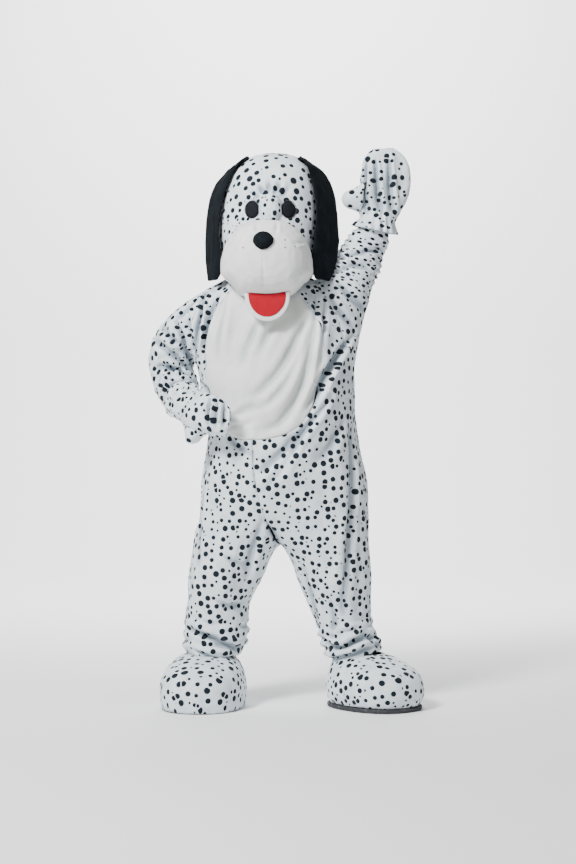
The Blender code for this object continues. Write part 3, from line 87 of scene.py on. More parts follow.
Place = tuple[float, float, float]
Line = tuple[tuple[float, float], ...]

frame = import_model()


class Side(Enum):
    """The side that a fold is seen and placed from, as the direction that one looks in."""

    FRONT = (0.0, 1.0, 0.0)
    BACK = (0.0, -1.0, 0.0)
    LEFT = (-1.0, 0.0, 0.0)
    RIGHT = (1.0, 0.0, 0.0)


class Hold(Enum):
    """How a piece of cloth is held."""

    HUNG = "hung"
    GATHERED = "gathered"
    STRETCHED = "stretched"
    LAID = "laid"


class Slot(Enum):
    """The record's material slots."""

    SPOTTED = "spotted_plush"
    BELLY = "belly_plush"
    MUZZLE = "muzzle_plush"
    BLACK = "black_plush"
    FELT = "red_felt"
    EYE = "eye_mesh"
    TAPE = "zip_tape"
    METAL = "zip_metal"


class Bench:
    """A material's node tree, with short ways to lay nodes in it."""

    def __init__(self, name: str, roughness: float) -> None:
        """Starts a material.

        Args:
            name: The material's name.
            roughness: The shader's own roughness.
        """
        self.material = bpy.data.materials.new(name)
        self.material.use_nodes = True
        self.tree = self.material.node_tree
        self.shader = self.tree.nodes["Principled BSDF"]
        self.shader.inputs["Roughness"].default_value = roughness
        self.places = self.tree.nodes.new("ShaderNodeTexCoord")

    def node(self, kind: str, **settings: object) -> bpy.types.Node:
        """Adds a node of that kind, with its settings."""
        made = self.tree.nodes.new(kind)
        for name, value in settings.items():
            setattr(made, name, value)
        return made

    def feed(self, source: object, target: bpy.types.NodeSocket) -> None:
        """Links a socket into another, or sets its plain value."""
        if isinstance(source, bpy.types.NodeSocket):
            self.tree.links.new(source, target)
        else:
            target.default_value = source

    def math(self, operation: str, first: object, second: object = 0.0) -> bpy.types.NodeSocket:
        """The result of a sum on two values or sockets."""
        made = self.node("ShaderNodeMath", operation=operation)
        self.feed(first, made.inputs[0])
        self.feed(second, made.inputs[1])
        return made.outputs[0]

    def ramp(self, value: object, low: float, high: float, bottom: float = 0.0,
             top: float = 1.0) -> bpy.types.NodeSocket:
        """Maps low..high to bottom..top with soft ends.

        Args:
            value: The socket that is read.
            low: The value that gives bottom.
            high: The value that gives top.
            bottom: The least result.
            top: The most.

        Returns:
            The result's socket.
        """
        made = self.node("ShaderNodeMapRange", interpolation_type="SMOOTHSTEP")
        for name, entry in (("Value", value), ("From Min", low), ("From Max", high),
                            ("To Min", bottom), ("To Max", top)):
            self.feed(entry, made.inputs[name])
        return made.outputs["Result"]

    def noise(self, scale: float, detail: float = 2.0, stretch: Place = (1.0, 1.0, 1.0),
              surface: bool = False) -> bpy.types.NodeSocket:
        """Smooth noise of that many waves a metre.

        Args:
            scale: Waves in a metre.
            detail: Finer octaves.
            stretch: How the waves are squeezed along the three axes.
            surface: Whether it follows the piece's UV map.

        Returns:
            The noise's value.
        """
        place = self.node("ShaderNodeMapping")
        self.feed(self.places.outputs["UV" if surface else "Object"], place.inputs["Vector"])
        place.inputs["Scale"].default_value = stretch
        made = self.node("ShaderNodeTexNoise")
        made.inputs["Scale"].default_value = scale
        made.inputs["Detail"].default_value = detail
        self.feed(place.outputs["Vector"], made.inputs["Vector"])
        return made.outputs["Fac"]

    def mix(self, factor: object, first: object, second: object) -> bpy.types.NodeSocket:
        """Colour between two, at a factor."""
        made = self.node("ShaderNodeMix", data_type="RGBA")
        self.feed(factor, made.inputs[MIX_FACTOR])
        for entry, place in ((first, MIX_FIRST), (second, MIX_SECOND)):
            self.feed((*entry, 1.0) if isinstance(entry, tuple) else entry, made.inputs[place])
        return made.outputs[MIX_RESULT]

    def vector(self, operation: str, first: object, second: object) -> bpy.types.NodeSocket:
        """The result of a sum on two vectors, or on a vector and a factor for SCALE."""
        made = self.node("ShaderNodeVectorMath", operation=operation)
        self.feed(first, made.inputs[0])
        self.feed(second, made.inputs["Scale" if operation == "SCALE" else 1])
        return made.outputs[0]

    def colour(self, source: bpy.types.NodeSocket) -> None:
        """Sends a colour to the shader."""
        self.feed(source, self.shader.inputs["Base Color"])

    def rise(self, layers: Sequence[tuple[object, float, float]]) -> None:
        """Stacks bumps on the shader's normal.

        Args:
            layers: For each bump, its height socket, its strength and its depth in metres.
        """
        normal = None
        for height, strength, depth in layers:
            bump = self.node("ShaderNodeBump")
            bump.inputs["Strength"].default_value = strength
            bump.inputs["Distance"].default_value = depth
            self.feed(height, bump.inputs["Height"])
            if normal is not None:
                self.feed(normal, bump.inputs["Normal"])
            normal = bump.outputs["Normal"]
        self.feed(normal, self.shader.inputs["Normal"])


@dataclass(frozen=True)
class Plush:
    """Short-pile plush of one colour: brushed patches, fine tufts, a soft sheen, and painted shade in the
    troughs of its folds.
    """

    name: str
    base: Colour
    shade: Colour
    sheen: float = 0.05
    tuft: float = 620.0
    patch: float = 26.0
    roughness: float = 0.92
    shine: float = 0.12
    # How strongly the fold troughs are darkened with painted shade, and that painted shade's colour.
    trough_shade: float = 0.70
    depth: Colour = (0.225, 0.285, 0.345)
    worn_share: float = 0.45
    tuft_share: float = 0.35
    trough_start: float = 0.22
    lump: float = 75.0
    lump_depth: float = 0.0022
    tuft_depth: float = 0.0011

    def ground(self, bench: Bench) -> bpy.types.NodeSocket:
        """The pile's colour, uneven where it is brushed and worn, with painted shade where the cloth sank
        into a fold.
        """
        patches = bench.ramp(bench.noise(self.patch, 3.0, (1.0, 1.0, 0.6)), 0.38, 0.68)
        tufts = bench.ramp(bench.noise(self.tuft, 2.0), 0.3, 0.72, 0.0, 0.7)
        worn = tuple((1 - self.worn_share) * b + self.worn_share * s for b, s in zip(self.base, self.shade))
        brushed = bench.mix(patches, self.base, worn)
        tufted = bench.mix(tufts, brushed, bench.mix(self.tuft_share, brushed, self.shade))
        # Painted shade: points that sank into a fold are mixed towards the depth colour.
        trough = bench.node("ShaderNodeAttribute", attribute_name=HOLLOW).outputs["Fac"]
        return bench.mix(bench.ramp(trough, self.trough_start, 1.0, 0.0, self.trough_shade), tufted, self.depth)

    def pile(self, bench: Bench) -> None:
        """The pile's relief: matted lumps, and tufts on them."""
        bench.rise(((bench.noise(self.lump, 2.0), 0.28, self.lump_depth),
                    (bench.noise(self.tuft, 3.0), 0.55, self.tuft_depth)))
        bench.shader.inputs["Sheen Weight"].default_value = self.sheen
        bench.shader.inputs["Sheen Roughness"].default_value = 0.45
        bench.shader.inputs["Specular IOR Level"].default_value = self.shine

    def make(self) -> bpy.types.Material:
        """The finished material."""
        bench = Bench(self.name, self.roughness)
        bench.colour(self.ground(bench))
        self.pile(bench)
        return bench.material


@dataclass(frozen=True)
class SpottedPlush(Plush):
    """White plush with dark round spots that follow the piece's own cloth."""

    spot: Colour = (0.005, 0.009, 0.014)
    spot_shade: Colour = (0.014, 0.021, 0.029)
    pitch: float = 0.0312
    small_radius: float = 0.0050
    large_radius: float = 0.0104
    dot_pitch: float = 0.0420
    dot_radius: float = 0.0044
    clearance: float = 0.0070
    fuzz: float = 0.0006
    wobble: float = 0.0009
    wobble_waves: float = 120.0
    scatter: float = 0.74
    dot_shift: Place = (5.37, 2.91, 0.0)
    clearance_fade: float = 0.0012

    def cells(self, bench: Bench, place: object, pitch: float, feature: str) -> bpy.types.Node:
        """Scattered cells on the cloth, one for each possible spot."""
        made = bench.node("ShaderNodeTexVoronoi", voronoi_dimensions="2D", feature=feature)
        made.inputs["Scale"].default_value = 1.0 / pitch
        made.inputs["Randomness"].default_value = self.scatter
        bench.feed(place, made.inputs["Vector"])
        return made

    def spots(self, bench: Bench) -> bpy.types.NodeSocket:
        """Where the spots are: 1 inside them, 0 between."""
        shaken = bench.node("ShaderNodeTexNoise", noise_dimensions="2D")
        shaken.inputs["Scale"].default_value = self.wobble_waves
        bench.feed(bench.places.outputs["UV"], shaken.inputs["Vector"])
        centred = bench.vector("SUBTRACT", shaken.outputs["Color"], (0.5, 0.5, 0.5))
        small = bench.vector("SCALE", centred, self.wobble)
        place = bench.vector("ADD", bench.places.outputs["UV"], small)
        big = self.cells(bench, place, self.pitch, "F1")
        gap = self.cells(bench, place, self.pitch, "DISTANCE_TO_EDGE")
        parts = bench.node("ShaderNodeSeparateColor")
        bench.feed(big.outputs["Color"], parts.inputs[0])
        radius = bench.node("ShaderNodeMapRange")
        bench.feed(parts.outputs[0], radius.inputs["Value"])
        radius.inputs["To Min"].default_value = self.small_radius / self.pitch
        radius.inputs["To Max"].default_value = self.large_radius / self.pitch
        soft = self.fuzz / self.pitch
        inside = bench.math("SUBTRACT", radius.outputs[0], big.outputs["Distance"])
        large = bench.math("MULTIPLY", bench.ramp(inside, -soft, soft),
                           bench.ramp(gap.outputs["Distance"], 0.02, 0.06))
        beside = bench.vector("ADD", place, self.dot_shift)
        dots = self.cells(bench, beside, self.dot_pitch, "F1")
        dot = bench.ramp(bench.math("SUBTRACT", self.dot_radius / self.dot_pitch,
                                    dots.outputs["Distance"]), -soft, soft)
        free = bench.ramp(bench.math("SUBTRACT", big.outputs["Distance"], radius.outputs[0]),
                          self.clearance / self.pitch,
                          (self.clearance + self.clearance_fade) / self.pitch)
        return bench.math("MAXIMUM", large, bench.math("MULTIPLY", dot, free))

    def make(self) -> bpy.types.Material:
        """The finished material."""
        bench = Bench(self.name, self.roughness)
        fibres = bench.ramp(bench.noise(self.tuft, 2.0), 0.3, 0.75)
        bench.colour(bench.mix(self.spots(bench), self.ground(bench),
                               bench.mix(fibres, self.spot, self.spot_shade)))
        self.pile(bench)
        return bench.material


@dataclass(frozen=True)
class KnitBacking:
    """The plain knitted backing of the plush, seen inside hems and cuffs."""

    name: str = "knit_backing"
    base: Colour = (0.62, 0.65, 0.67)
    shade: Colour = (0.45, 0.48, 0.51)
    ribs: float = 520.0

    def make(self) -> bpy.types.Material:
        """The finished material."""
        bench = Bench(self.name, 0.95)
        rows = bench.ramp(bench.noise(self.ribs, 1.0, (1.0, 1.0, 0.35)), 0.35, 0.65)
        bench.colour(bench.mix(rows, self.base, self.shade))
        bench.rise(((rows, 0.4, 0.0005),))
        return bench.material


@dataclass(frozen=True)
class Felt:
    """Pressed felt: matt, with short stray fibres."""

    name: str
    base: Colour
    shade: Colour

    def make(self) -> bpy.types.Material:
        """The finished material."""
        bench = Bench(self.name, 0.9)
        fibres = bench.ramp(bench.noise(900.0, 4.0, (1.0, 1.0, 0.3)), 0.32, 0.7)
        cloud = bench.ramp(bench.noise(40.0, 2.0), 0.35, 0.7, 0.0, 0.5)
        bench.colour(bench.mix(cloud, bench.mix(fibres, self.base, self.shade), self.shade))
        bench.rise(((fibres, 0.4, 0.0005),))
        bench.shader.inputs["Sheen Weight"].default_value = 0.15
        bench.shader.inputs["Specular IOR Level"].default_value = 0.2
        return bench.material


@dataclass(frozen=True)
class Gauze:
    """Dark mesh cloth over the eye openings, drawn solid: its holes are painted with the shade of the
    head's dark inside.
    """

    name: str = "eye_gauze"
    thread: Colour = (0.012, 0.014, 0.018)
    # Painted shade of the head's dark inside, seen through the mesh's holes.
    hole_shade: Colour = (0.002, 0.002, 0.003)
    threads: float = 900.0

    def make(self) -> bpy.types.Material:
        """The finished material."""
        bench = Bench(self.name, 0.7)
        place = bench.node("ShaderNodeSeparateXYZ")
        bench.feed(bench.places.outputs["Object"], place.inputs[0])
        turns = [bench.math("MULTIPLY", place.outputs[axis], self.threads * math.tau) for axis in "XZ"]
        waves = [bench.math("SINE", turn) for turn in turns]
        weave = bench.ramp(bench.math("MAXIMUM", waves[0], waves[1]), -0.2, 0.6)
        # Threads over holes painted with the shade inside the head.
        bench.colour(bench.mix(weave, self.hole_shade, self.thread))
        bench.rise(((weave, 0.5, 0.0003),))
        bench.shader.inputs["Specular IOR Level"].default_value = 0.08
        return bench.material


@dataclass(frozen=True)
class SoleRubber:
    """Dark foam rubber, scuffed where it meets the floor."""

    name: str = "sole_rubber"
    base: Colour = (0.018, 0.020, 0.024)
    scuff: Colour = (0.085, 0.088, 0.092)
    speck: Colour = (0.030, 0.032, 0.037)

    def make(self) -> bpy.types.Material:
        """The finished material."""
        bench = Bench(self.name, 0.75)
        worn = bench.ramp(bench.noise(60.0, 5.0), 0.52, 0.72, 0.0, 0.6)
        grain = bench.noise(1400.0, 2.0)
        bench.colour(bench.mix(worn, bench.mix(grain, self.base, self.speck), self.scuff))
        bench.rise(((grain, 0.35, 0.0004), (bench.noise(160.0, 2.0), 0.2, 0.0008)))
        return bench.material


@dataclass(frozen=True)
class WovenTape:
    """Woven polyester tape, with ribs across it."""

    name: str = "woven_tape"
    base: Colour = (0.66, 0.69, 0.69)
    shade: Colour = (0.48, 0.51, 0.52)

    def make(self) -> bpy.types.Material:
        """The finished material."""
        bench = Bench(self.name, 0.85)
        ribs = bench.ramp(bench.noise(1100.0, 1.0, (0.3, 0.3, 1.0)), 0.35, 0.65)
        bench.colour(bench.mix(ribs, self.base, self.shade))
        bench.rise(((ribs, 0.5, 0.0004),))
        return bench.material


@dataclass(frozen=True)
class SatinMetal:
    """Die-cast zip metal with brushed wear."""

    name: str = "satin_metal"
    base: Colour = (0.56, 0.56, 0.55)
    worn: Colour = (0.34, 0.34, 0.35)

    def make(self) -> bpy.types.Material:
        """The finished material."""
        bench = Bench(self.name, 0.38)
        bench.shader.inputs["Metallic"].default_value = 1.0
        scratches = bench.ramp(bench.noise(2400.0, 3.0, (1.0, 1.0, 0.15)), 0.4, 0.7)
        bench.colour(bench.mix(scratches, self.base, self.worn))
        bench.rise(((scratches, 0.25, 0.0001),))
        return bench.material


class Wardrobe:
    """Every finish of the costume, made once."""

    def __init__(self) -> None:
        """Makes the finishes."""
        white, cool = (0.770, 0.830, 0.865), (0.520, 0.590, 0.650)
        warm, warm_shade = (0.800, 0.820, 0.790), (0.590, 0.620, 0.605)
        self.spotted = SpottedPlush("spotted_plush", white, cool).make()
        # Each plush paints shade into its fold troughs in its depth colour: lighter on the belly, the base
        # black on the black plush.
        self.belly = Plush("belly_plush", warm, warm_shade, patch=18.0, trough_shade=0.5,
                           depth=(0.33, 0.37, 0.39)).make()
        self.muzzle = Plush("muzzle_plush", warm, warm_shade, patch=22.0).make()
        black, black_shade = (0.0045, 0.0065, 0.0085), (0.0120, 0.0155, 0.0190)
        self.black = Plush("black_plush", black, black_shade, sheen=0.012, patch=34.0, shine=0.04,
                           depth=black).make()
        self.nose = Plush("nose_plush", black, black_shade, sheen=0.01, patch=60.0, shine=0.06,
                          depth=black).make()
        self.felt = Felt("red_felt", (0.400, 0.001, 0.015), (0.300, 0.001, 0.010)).make()
        self.thread = Felt("dark_thread", (0.02, 0.022, 0.026), (0.05, 0.053, 0.06)).make()
        self.gauze = Gauze().make()
        self.rubber = SoleRubber().make()
        self.tape = WovenTape().make()
        self.metal = SatinMetal().make()
        self.backing = KnitBacking().make()


@dataclass(frozen=True)
class Fold:
    """A fold placed on the cloth: a line seen from one side, with the trough's depth and width.

    The line runs over the cloth as seen from its side: x and z from the front or back, y and z from
    the left or right. The ridge beside it is a share of the depth, on the line's left as it runs
    where ridge is positive and on its right where it is negative.
    """

    line: Line
    depth: float
    width: float
    side: Side = Side.FRONT
    ridge: float = 0.6


@dataclass(frozen=True)
class Ruche:
    """Short wrinkles across a tube, as over an elastic: a stretch of its axis and their size."""

    start: Place
    end: Place
    reach: float
    pitch: float
    height: float
    turns: float = 2.0
    seed: float = 0.0


@dataclass(frozen=True)
class Gather:
    """Pleats along a tube at its end: waves round the axis, strongest at the start point."""

    start: Place
    end: Place
    reach: float
    waves: int
    height: float
    flare: float = 0.7


def smooth_line(points: Sequence[Vector], spacing: float) -> list[Vector]:
    """A smooth curve through points, read at about the given spacing.

    Args:
        points: The places that it passes.
        spacing: The distance between the places returned.

    Returns:
        The curve's points.
    """
    if len(points) < 2:
        return list(points)
    ends = [points[0] * 2 - points[1], *points, points[-1] * 2 - points[-2]]
    found = []
    for k in range(len(points) - 1):
        a, b, c, d = ends[k:k + 4]
        steps = max(2, round((c - b).length / spacing))
        for step in range(steps):
            t = step / steps
            found.append(0.5 * (2 * b + (c - a) * t + (2 * a - 5 * b + 4 * c - d) * t * t
                                + (3 * b - a - 3 * c + d) * t ** 3))
    found.append(points[-1])
    return found


def deselect() -> None:
    """Leaves nothing selected, in object mode."""
    if bpy.context.object and bpy.context.object.mode != "OBJECT":
        bpy.ops.object.mode_set(mode="OBJECT")
    for thing in bpy.context.scene.objects:
        thing.select_set(False)


def take_up(thing: bpy.types.Object) -> None:
    """Selects one object and makes it the active one."""
    deselect()
    thing.select_set(True)
    bpy.context.view_layer.objects.active = thing


def apply_modifier(thing: bpy.types.Object, kind: str, **settings: object) -> None:
    """Adds a modifier with its settings, and applies it."""
    take_up(thing)
    made = thing.modifiers.new(kind.lower(), kind)
    for name, value in settings.items():
        setattr(made, name, value)
    bpy.ops.object.modifier_apply(modifier=made.name)


def place_mesh(thing: bpy.types.Object) -> None:
    """Moves an object's place into its mesh."""
    thing.data.transform(thing.matrix_basis)
    thing.matrix_basis = Matrix.Identity(4)


def trim(thing: bpy.types.Object, finish: bpy.types.Material) -> bpy.types.Object:
    """Dresses a small sewn-on piece that rides on the costume, and returns it."""
    thing.data.materials.clear()
    thing.data.materials.append(finish)
    thing.data.shade_smooth()
    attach(thing, "costume")
    return thing


def redress(node: str, finish: bpy.types.Material) -> bpy.types.Object:
    """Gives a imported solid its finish, and returns it."""
    solid = frame["nodes"][node]
    solid.data.materials.clear()
    solid.data.materials.append(finish)
    return solid


def mesh_tree(mesh: bpy.types.Mesh) -> BVHTree:
    """A search tree of a mesh."""
    return BVHTree.FromPolygons([v.co for v in mesh.vertices], [f.vertices for f in mesh.polygons])


def point_tree(places: Iterable[Sequence[float]]) -> KDTree:
    """A search tree of places."""
    rows = list(places)
    tree = KDTree(len(rows))
    for k, place in enumerate(rows):
        tree.insert(place, k)
    tree.balance()
    return tree


def soft(share: np.ndarray) -> np.ndarray:
    """A share of 0 to 1 with soft ends."""
    return share * share * (3 - 2 * share)


class Cloth:
    """The outer skin of one cloth solid, made finer and creased before it gets its thickness."""

    made: int = 0
    flat_step: tuple[float, float] = (0.71, 0.37)
    fold_reach: float = 0.07
    fold_room: float = 0.05
    bend_share: float = 0.6
    bend_depth: float = 0.9
    ridge_level: float = 0.45
    rest_hollow: float = 0.25

    def __init__(self, node: str, levels: int, walled: bool = True, hug: float = 0.0) -> None:
        """Copies a solid's skin.

        Args:
            node: The solid's name.
            levels: How often the skin is subdivided.
            walled: Whether the solid is a wall, of which only the outside is kept.
            hug: How far the finer skin is drawn back to the solid's faces, 0 to 1.
        """
        self.node = node
        Cloth.made += 1
        self.obj = self.outer_skin(walled)
        self.unwrap()
        apply_modifier(self.obj, "SUBSURF", levels=levels, render_levels=levels,
                       boundary_smooth="PRESERVE_CORNERS", uv_smooth="PRESERVE_BOUNDARIES")
        mesh = self.obj.data
        count = len(mesh.vertices)
        self.points = np.empty(count * 3)
        mesh.vertices.foreach_get("co", self.points)
        self.points = self.points.reshape(-1, 3)
        self.normals = np.array([n.vector for n in mesh.vertex_normals])
        if hug:
            self.draw_back(hug)
        self.rest = self.points.copy()
        self.moved = np.zeros(count)
        self.border = self.border_points()

    def draw_back(self, share: float) -> None:
        """Moves the finer skin that share of the way back to the solid's own faces."""
        tree = mesh_tree(frame["nodes"][self.node].data)
        for k, point in enumerate(self.points):
            near = tree.find_nearest(Vector(point))[0]
            self.points[k] += share * (np.array(near) - point)

    def outer_skin(self, walled: bool) -> bpy.types.Object:
        """A new object with the solid's outer faces, as quads where they pair up."""
        work = bmesh.new()
        work.from_mesh(frame["nodes"][self.node].data)
        bmesh.ops.remove_doubles(work, verts=work.verts[:], dist=WELD)
        if walled:
            patches = self.smooth_patches(work)
            keep = set(max(patches, key=lambda patch: math.fsum(f.calc_area() for f in patch)))
            bmesh.ops.delete(work, geom=[f for f in work.faces if f not in keep], context="FACES")
        bmesh.ops.join_triangles(work, faces=work.faces[:], angle_face_threshold=PAIR_TILT,
                                 angle_shape_threshold=PAIR_SKEW)
        mesh = bpy.data.meshes.new(f"{self.node}_cloth")
        work.to_mesh(mesh)
        work.free()
        made = bpy.data.objects.new(f"{self.node}_cloth", mesh)
        bpy.context.scene.collection.objects.link(made)
        return made

    @staticmethod
    def smooth_patches(work: bmesh.types.BMesh) -> list[list[bmesh.types.BMFace]]:
        """Groups of faces that meet without a sharp edge."""
        left = set(work.faces)
        patches = []
        while left:
            stack = [left.pop()]
            patch = []
            while stack:
                face = stack.pop()
                patch.append(face)
                for edge in face.edges:
                    if len(edge.link_faces) == 2 and edge.calc_face_angle(0.0) < SHARP_RIM:
                        for other in edge.link_faces:
                            if other in left:
                                left.discard(other)
                                stack.append(other)
            patches.append(patch)
        return patches

    def unwrap(self) -> None:
        """Lays the skin flat as a UV map in metres, cut where it is a tube."""
        self.cut_tube()
        take_up(self.obj)
        bpy.ops.object.mode_set(mode="EDIT")
        bpy.ops.mesh.select_all(action="SELECT")
        bpy.ops.uv.unwrap(method="ANGLE_BASED", margin=0.0)
        bpy.ops.object.mode_set(mode="OBJECT")
        mesh = self.obj.data
        flat = np.empty(len(mesh.loops) * 2)
        mesh.uv_layers.active.data.foreach_get("uv", flat)
        flat = flat.reshape(-1, 2)
        real = laid = 0.0
        for face in mesh.polygons:
            u, v = flat[list(face.loop_indices)].T
            laid += 0.5 * abs(float(np.dot(u, np.roll(v, 1)) - np.dot(v, np.roll(u, 1))))
            real += face.area
        shift = np.array(self.flat_step) * Cloth.made
        flat = flat * math.sqrt(real / max(laid, 1e-12)) + shift
        mesh.uv_layers.active.data.foreach_set("uv", flat.ravel())

    def cut_tube(self) -> None:
        """Marks a seam from one open end to another, so that a tube lies flat."""
        work = bmesh.new()
        work.from_mesh(self.obj.data)
        loops = self.open_loops(work)
        if len(loops) > 1:
            goal = {v.index for loop in loops[1:2] for v in loop}
            start = max(loops[0], key=lambda v: (v.co.y, v.index))
            for a, b in self.shortest_way(start, goal):
                edge = work.edges.get((work.verts[a], work.verts[b]))
                edge.seam = True
            work.to_mesh(self.obj.data)
        elif not loops:
            middle = float(np.mean([v.co.y for v in work.verts]))
            for edge in work.edges:
                a, b = (v.co.y - middle for v in edge.verts)
                sides = [sum(v.co.y for v in f.verts) / len(f.verts) > middle for f in edge.link_faces]
                edge.seam = len(sides) == 2 and sides[0] != sides[1] and abs(a + b) < 1.0
            work.to_mesh(self.obj.data)
        work.free()

    @staticmethod
    def open_loops(work: bmesh.types.BMesh) -> list[list[bmesh.types.BMVert]]:
        """The open edges' loops of points."""
        work.verts.ensure_lookup_table()
        left = {v for v in work.verts if v.is_boundary}
        loops = []
        while left:
            stack = [left.pop()]
            loop = []
            while stack:
                point = stack.pop()
                loop.append(point)
                for edge in point.link_edges:
                    other = edge.other_vert(point)
                    if edge.is_boundary and other in left:
                        left.discard(other)
                        stack.append(other)
            loops.append(loop)
        return sorted(loops, key=lambda loop: (-len(loop), min(v.index for v in loop)))

    @staticmethod
    def shortest_way(start: bmesh.types.BMVert, goal: set[int]) -> list[tuple[int, int]]:
        """The edges of the shortest way from a point to any goal point."""
        best = {start.index: 0.0}
        came = {}
        heap = [(0.0, start.index, start)]
        while heap:
            far, index, point = heapq.heappop(heap)
            if index in goal:
                way = []
                while index in came:
                    way.append((came[index], index))
                    index = came[index]
                return way
            for edge in point.link_edges:
                other = edge.other_vert(point)
                reach = far + edge.calc_length()
                if reach < best.get(other.index, math.inf) - 1e-9:
                    best[other.index] = reach
                    came[other.index] = index
                    heapq.heappush(heap, (reach, other.index, other))
        return []

    def border_points(self) -> np.ndarray:
        """The skin's open edge, as points."""
        mesh = self.obj.data
        uses = {}
        for face in mesh.polygons:
            for key in face.edge_keys:
                uses[key] = uses.get(key, 0) + 1
        found = sorted({v for key, count in uses.items() if count == 1 for v in key})
        return self.points[found] if found else np.empty((0, 3))

    def away_from(self, places: np.ndarray) -> tuple[np.ndarray, np.ndarray]:
        """Each point's distance from the nearest of the places, and that place's number.

        Args:
            places: The places, one in a row.

        Returns:
            The distances and the numbers of the nearest places.
        """
        tree = point_tree(places)
        found = [tree.find(point) for point in self.rest]
        return np.array([f[2] for f in found]), np.array([f[1] for f in found])

    def push(self, amount: np.ndarray) -> None:
        """Moves each point along its normal by its own amount."""
        self.points += self.normals * amount[:, None]
        self.moved += amount

    def crumple(self, height: float, wave: float, stretch: Place = (1.0, 1.0, 1.0)) -> None:
        """Small uneven wrinkles all over, as soft ridges.

        Args:
            height: The ridges' height.
            wave: The distance between them.
            stretch: How they are drawn out along the axes.
        """
        amount = np.empty(len(self.points))
        for k, point in enumerate(self.rest):
            place = Vector([c / (wave * s) for c, s in zip(point, stretch)])
            bent = place + noise.noise_vector(place * self.bend_share) * self.bend_depth
            ridge = 1.0 - abs(noise.noise(bent))
            uneven = 0.4 + 0.8 * abs(noise.noise(place * 0.37))
            amount[k] = height * (ridge ** 3 - self.ridge_level) * uneven
        self.push(amount)

    def fold(self, folds: Iterable["PlacedFold"]) -> None:
        """Lays the listed folds into the skin."""
        low, high = self.rest.min(0), self.rest.max(0)
        for one in folds:
            near = one.points
            if (near.max(0) < low - self.fold_room).any() or (near.min(0) > high + self.fold_room).any():
                continue
            above = self.rest > near.min(0) - self.fold_reach
            below = self.rest < near.max(0) + self.fold_reach
            inside = np.where((above & below).all(1))[0]
            if len(inside):
                depth = one.depth_at(self.rest[inside], self.normals[inside])
                self.points[inside] += self.normals[inside] * depth[:, None]
                self.moved[inside] += depth

    def ruche(self, ruches: Iterable[Ruche]) -> None:
        """Presses wrinkles across a tube into the skin."""
        for one in ruches:
            along, round_it, out = cylinder(self.rest, one.start, one.end)
            long = math.dist(one.start, one.end)
            window = np.clip(np.minimum(along, long - along) / (0.35 * long), 0, 1)
            window = soft(window) * (out < one.reach)
            bend = 1.3 * np.sin(one.turns * round_it + one.seed)
            bend = bend + 0.8 * np.sin(5 * round_it + 2.1 * one.seed)
            uneven = 0.65 + 0.35 * np.sin(3 * round_it + 37 * along + one.seed)
            self.push(window * uneven * one.height * np.sin(math.tau * along / one.pitch + bend))

    def gather(self, gathers: Iterable[Gather]) -> None:
        """Presses pleats along a tube's end into the skin."""
        for one in gathers:
            along, round_it, out = cylinder(self.rest, one.start, one.end)
            long = math.dist(one.start, one.end)
            window = np.clip(1 - np.abs(along) / long, 0, 1) * (out < one.reach)
            turn = one.waves * round_it + 1.1 * np.sin(3 * round_it) + 0.7 * np.sin(7 * round_it)
            ridge = (0.5 + 0.5 * np.sin(turn)) ** 1.4
            uneven = 0.75 + 0.25 * np.sin(5 * round_it)
            axis = np.array((Vector(one.end) - Vector(one.start)).normalized())
            away = self.rest - np.array(one.start) - along[:, None] * axis
            amount = window * one.height * (one.flare + (ridge - 0.35) * uneven)
            self.points += away / np.maximum(out, 0.001)[:, None] * amount[:, None]
            self.moved += window * one.height * (ridge - 0.35) * uneven

    def bunch(self, one: Ruche, share: float) -> None:
        """Presses the cloth's pattern closer along a tube, as where it is ruched.

        Args:
            one: The wrinkles that take the cloth up.
            share: How much more cloth lies there than the tube is long.
        """
        mesh = self.obj.data
        along, _, _ = cylinder(self.rest, one.start, one.end)
        long = math.dist(one.start, one.end)
        corners = np.empty(len(mesh.loops), dtype=np.int64)
        mesh.loops.foreach_get("vertex_index", corners)
        flat = np.empty(len(mesh.loops) * 2)
        mesh.uv_layers.active.data.foreach_get("uv", flat)
        flat = flat.reshape(-1, 2)
        there = along[corners]
        inside = (there > 0) & (there < long)
        if not inside.any():
            return
        base = np.column_stack((flat[inside], np.ones(inside.sum())))
        slope = np.linalg.lstsq(base, there[inside], rcond=None)[0][:2]
        flat += (share * np.clip(there, 0, long))[:, None] * (slope / np.linalg.norm(slope))
        mesh.uv_layers.active.data.foreach_set("uv", flat.ravel())

    def seam(self, depth: float = 0.0016, width: float = 0.005) -> None:
        """Rolls the skin's edge inwards, as a sewn seam does."""
        if len(self.border):
            far, _ = self.away_from(self.border)
            self.push(-depth * np.exp(-(far / width) ** 2))

    def finish(self, thickness: float, finish: bpy.types.Material, backing: bpy.types.Material | None,
               slot: Slot) -> bpy.types.Object:
        """Writes the points back, gives the cloth its thickness and dresses it.

        Args:
            thickness: The cloth's thickness, 0 for a closed pad.
            finish: The outer finish.
            backing: The finish inside.
            slot: The record's slot; not used.

        Returns:
            The finished object, which stands for the solid.
        """
        mesh = self.obj.data
        mesh.vertices.foreach_set("co", self.points.ravel())
        mesh.update()
        # Each point's sink is kept on the mesh, for the plush's painted shade in fold troughs.
        trough_shade = mesh.attributes.new(HOLLOW, "FLOAT", "POINT")
        sunk = np.clip(self.rest_hollow - self.moved / HOLLOW_DEPTH, 0.0, 1.0)
        trough_shade.data.foreach_set("value", sunk)
        mesh.materials.append(finish)
        if thickness:
            mesh.materials.append(backing or finish)
            apply_modifier(self.obj, "SOLIDIFY", thickness=thickness, offset=-1.0, use_rim=True,
                           material_offset=1, material_offset_rim=0)
        self.obj.data.shade_smooth()
        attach(self.obj, "costume")
        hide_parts(self.node)
        LOG.info("%s: %d faces", self.obj.name, len(self.obj.data.polygons))
        return self.obj


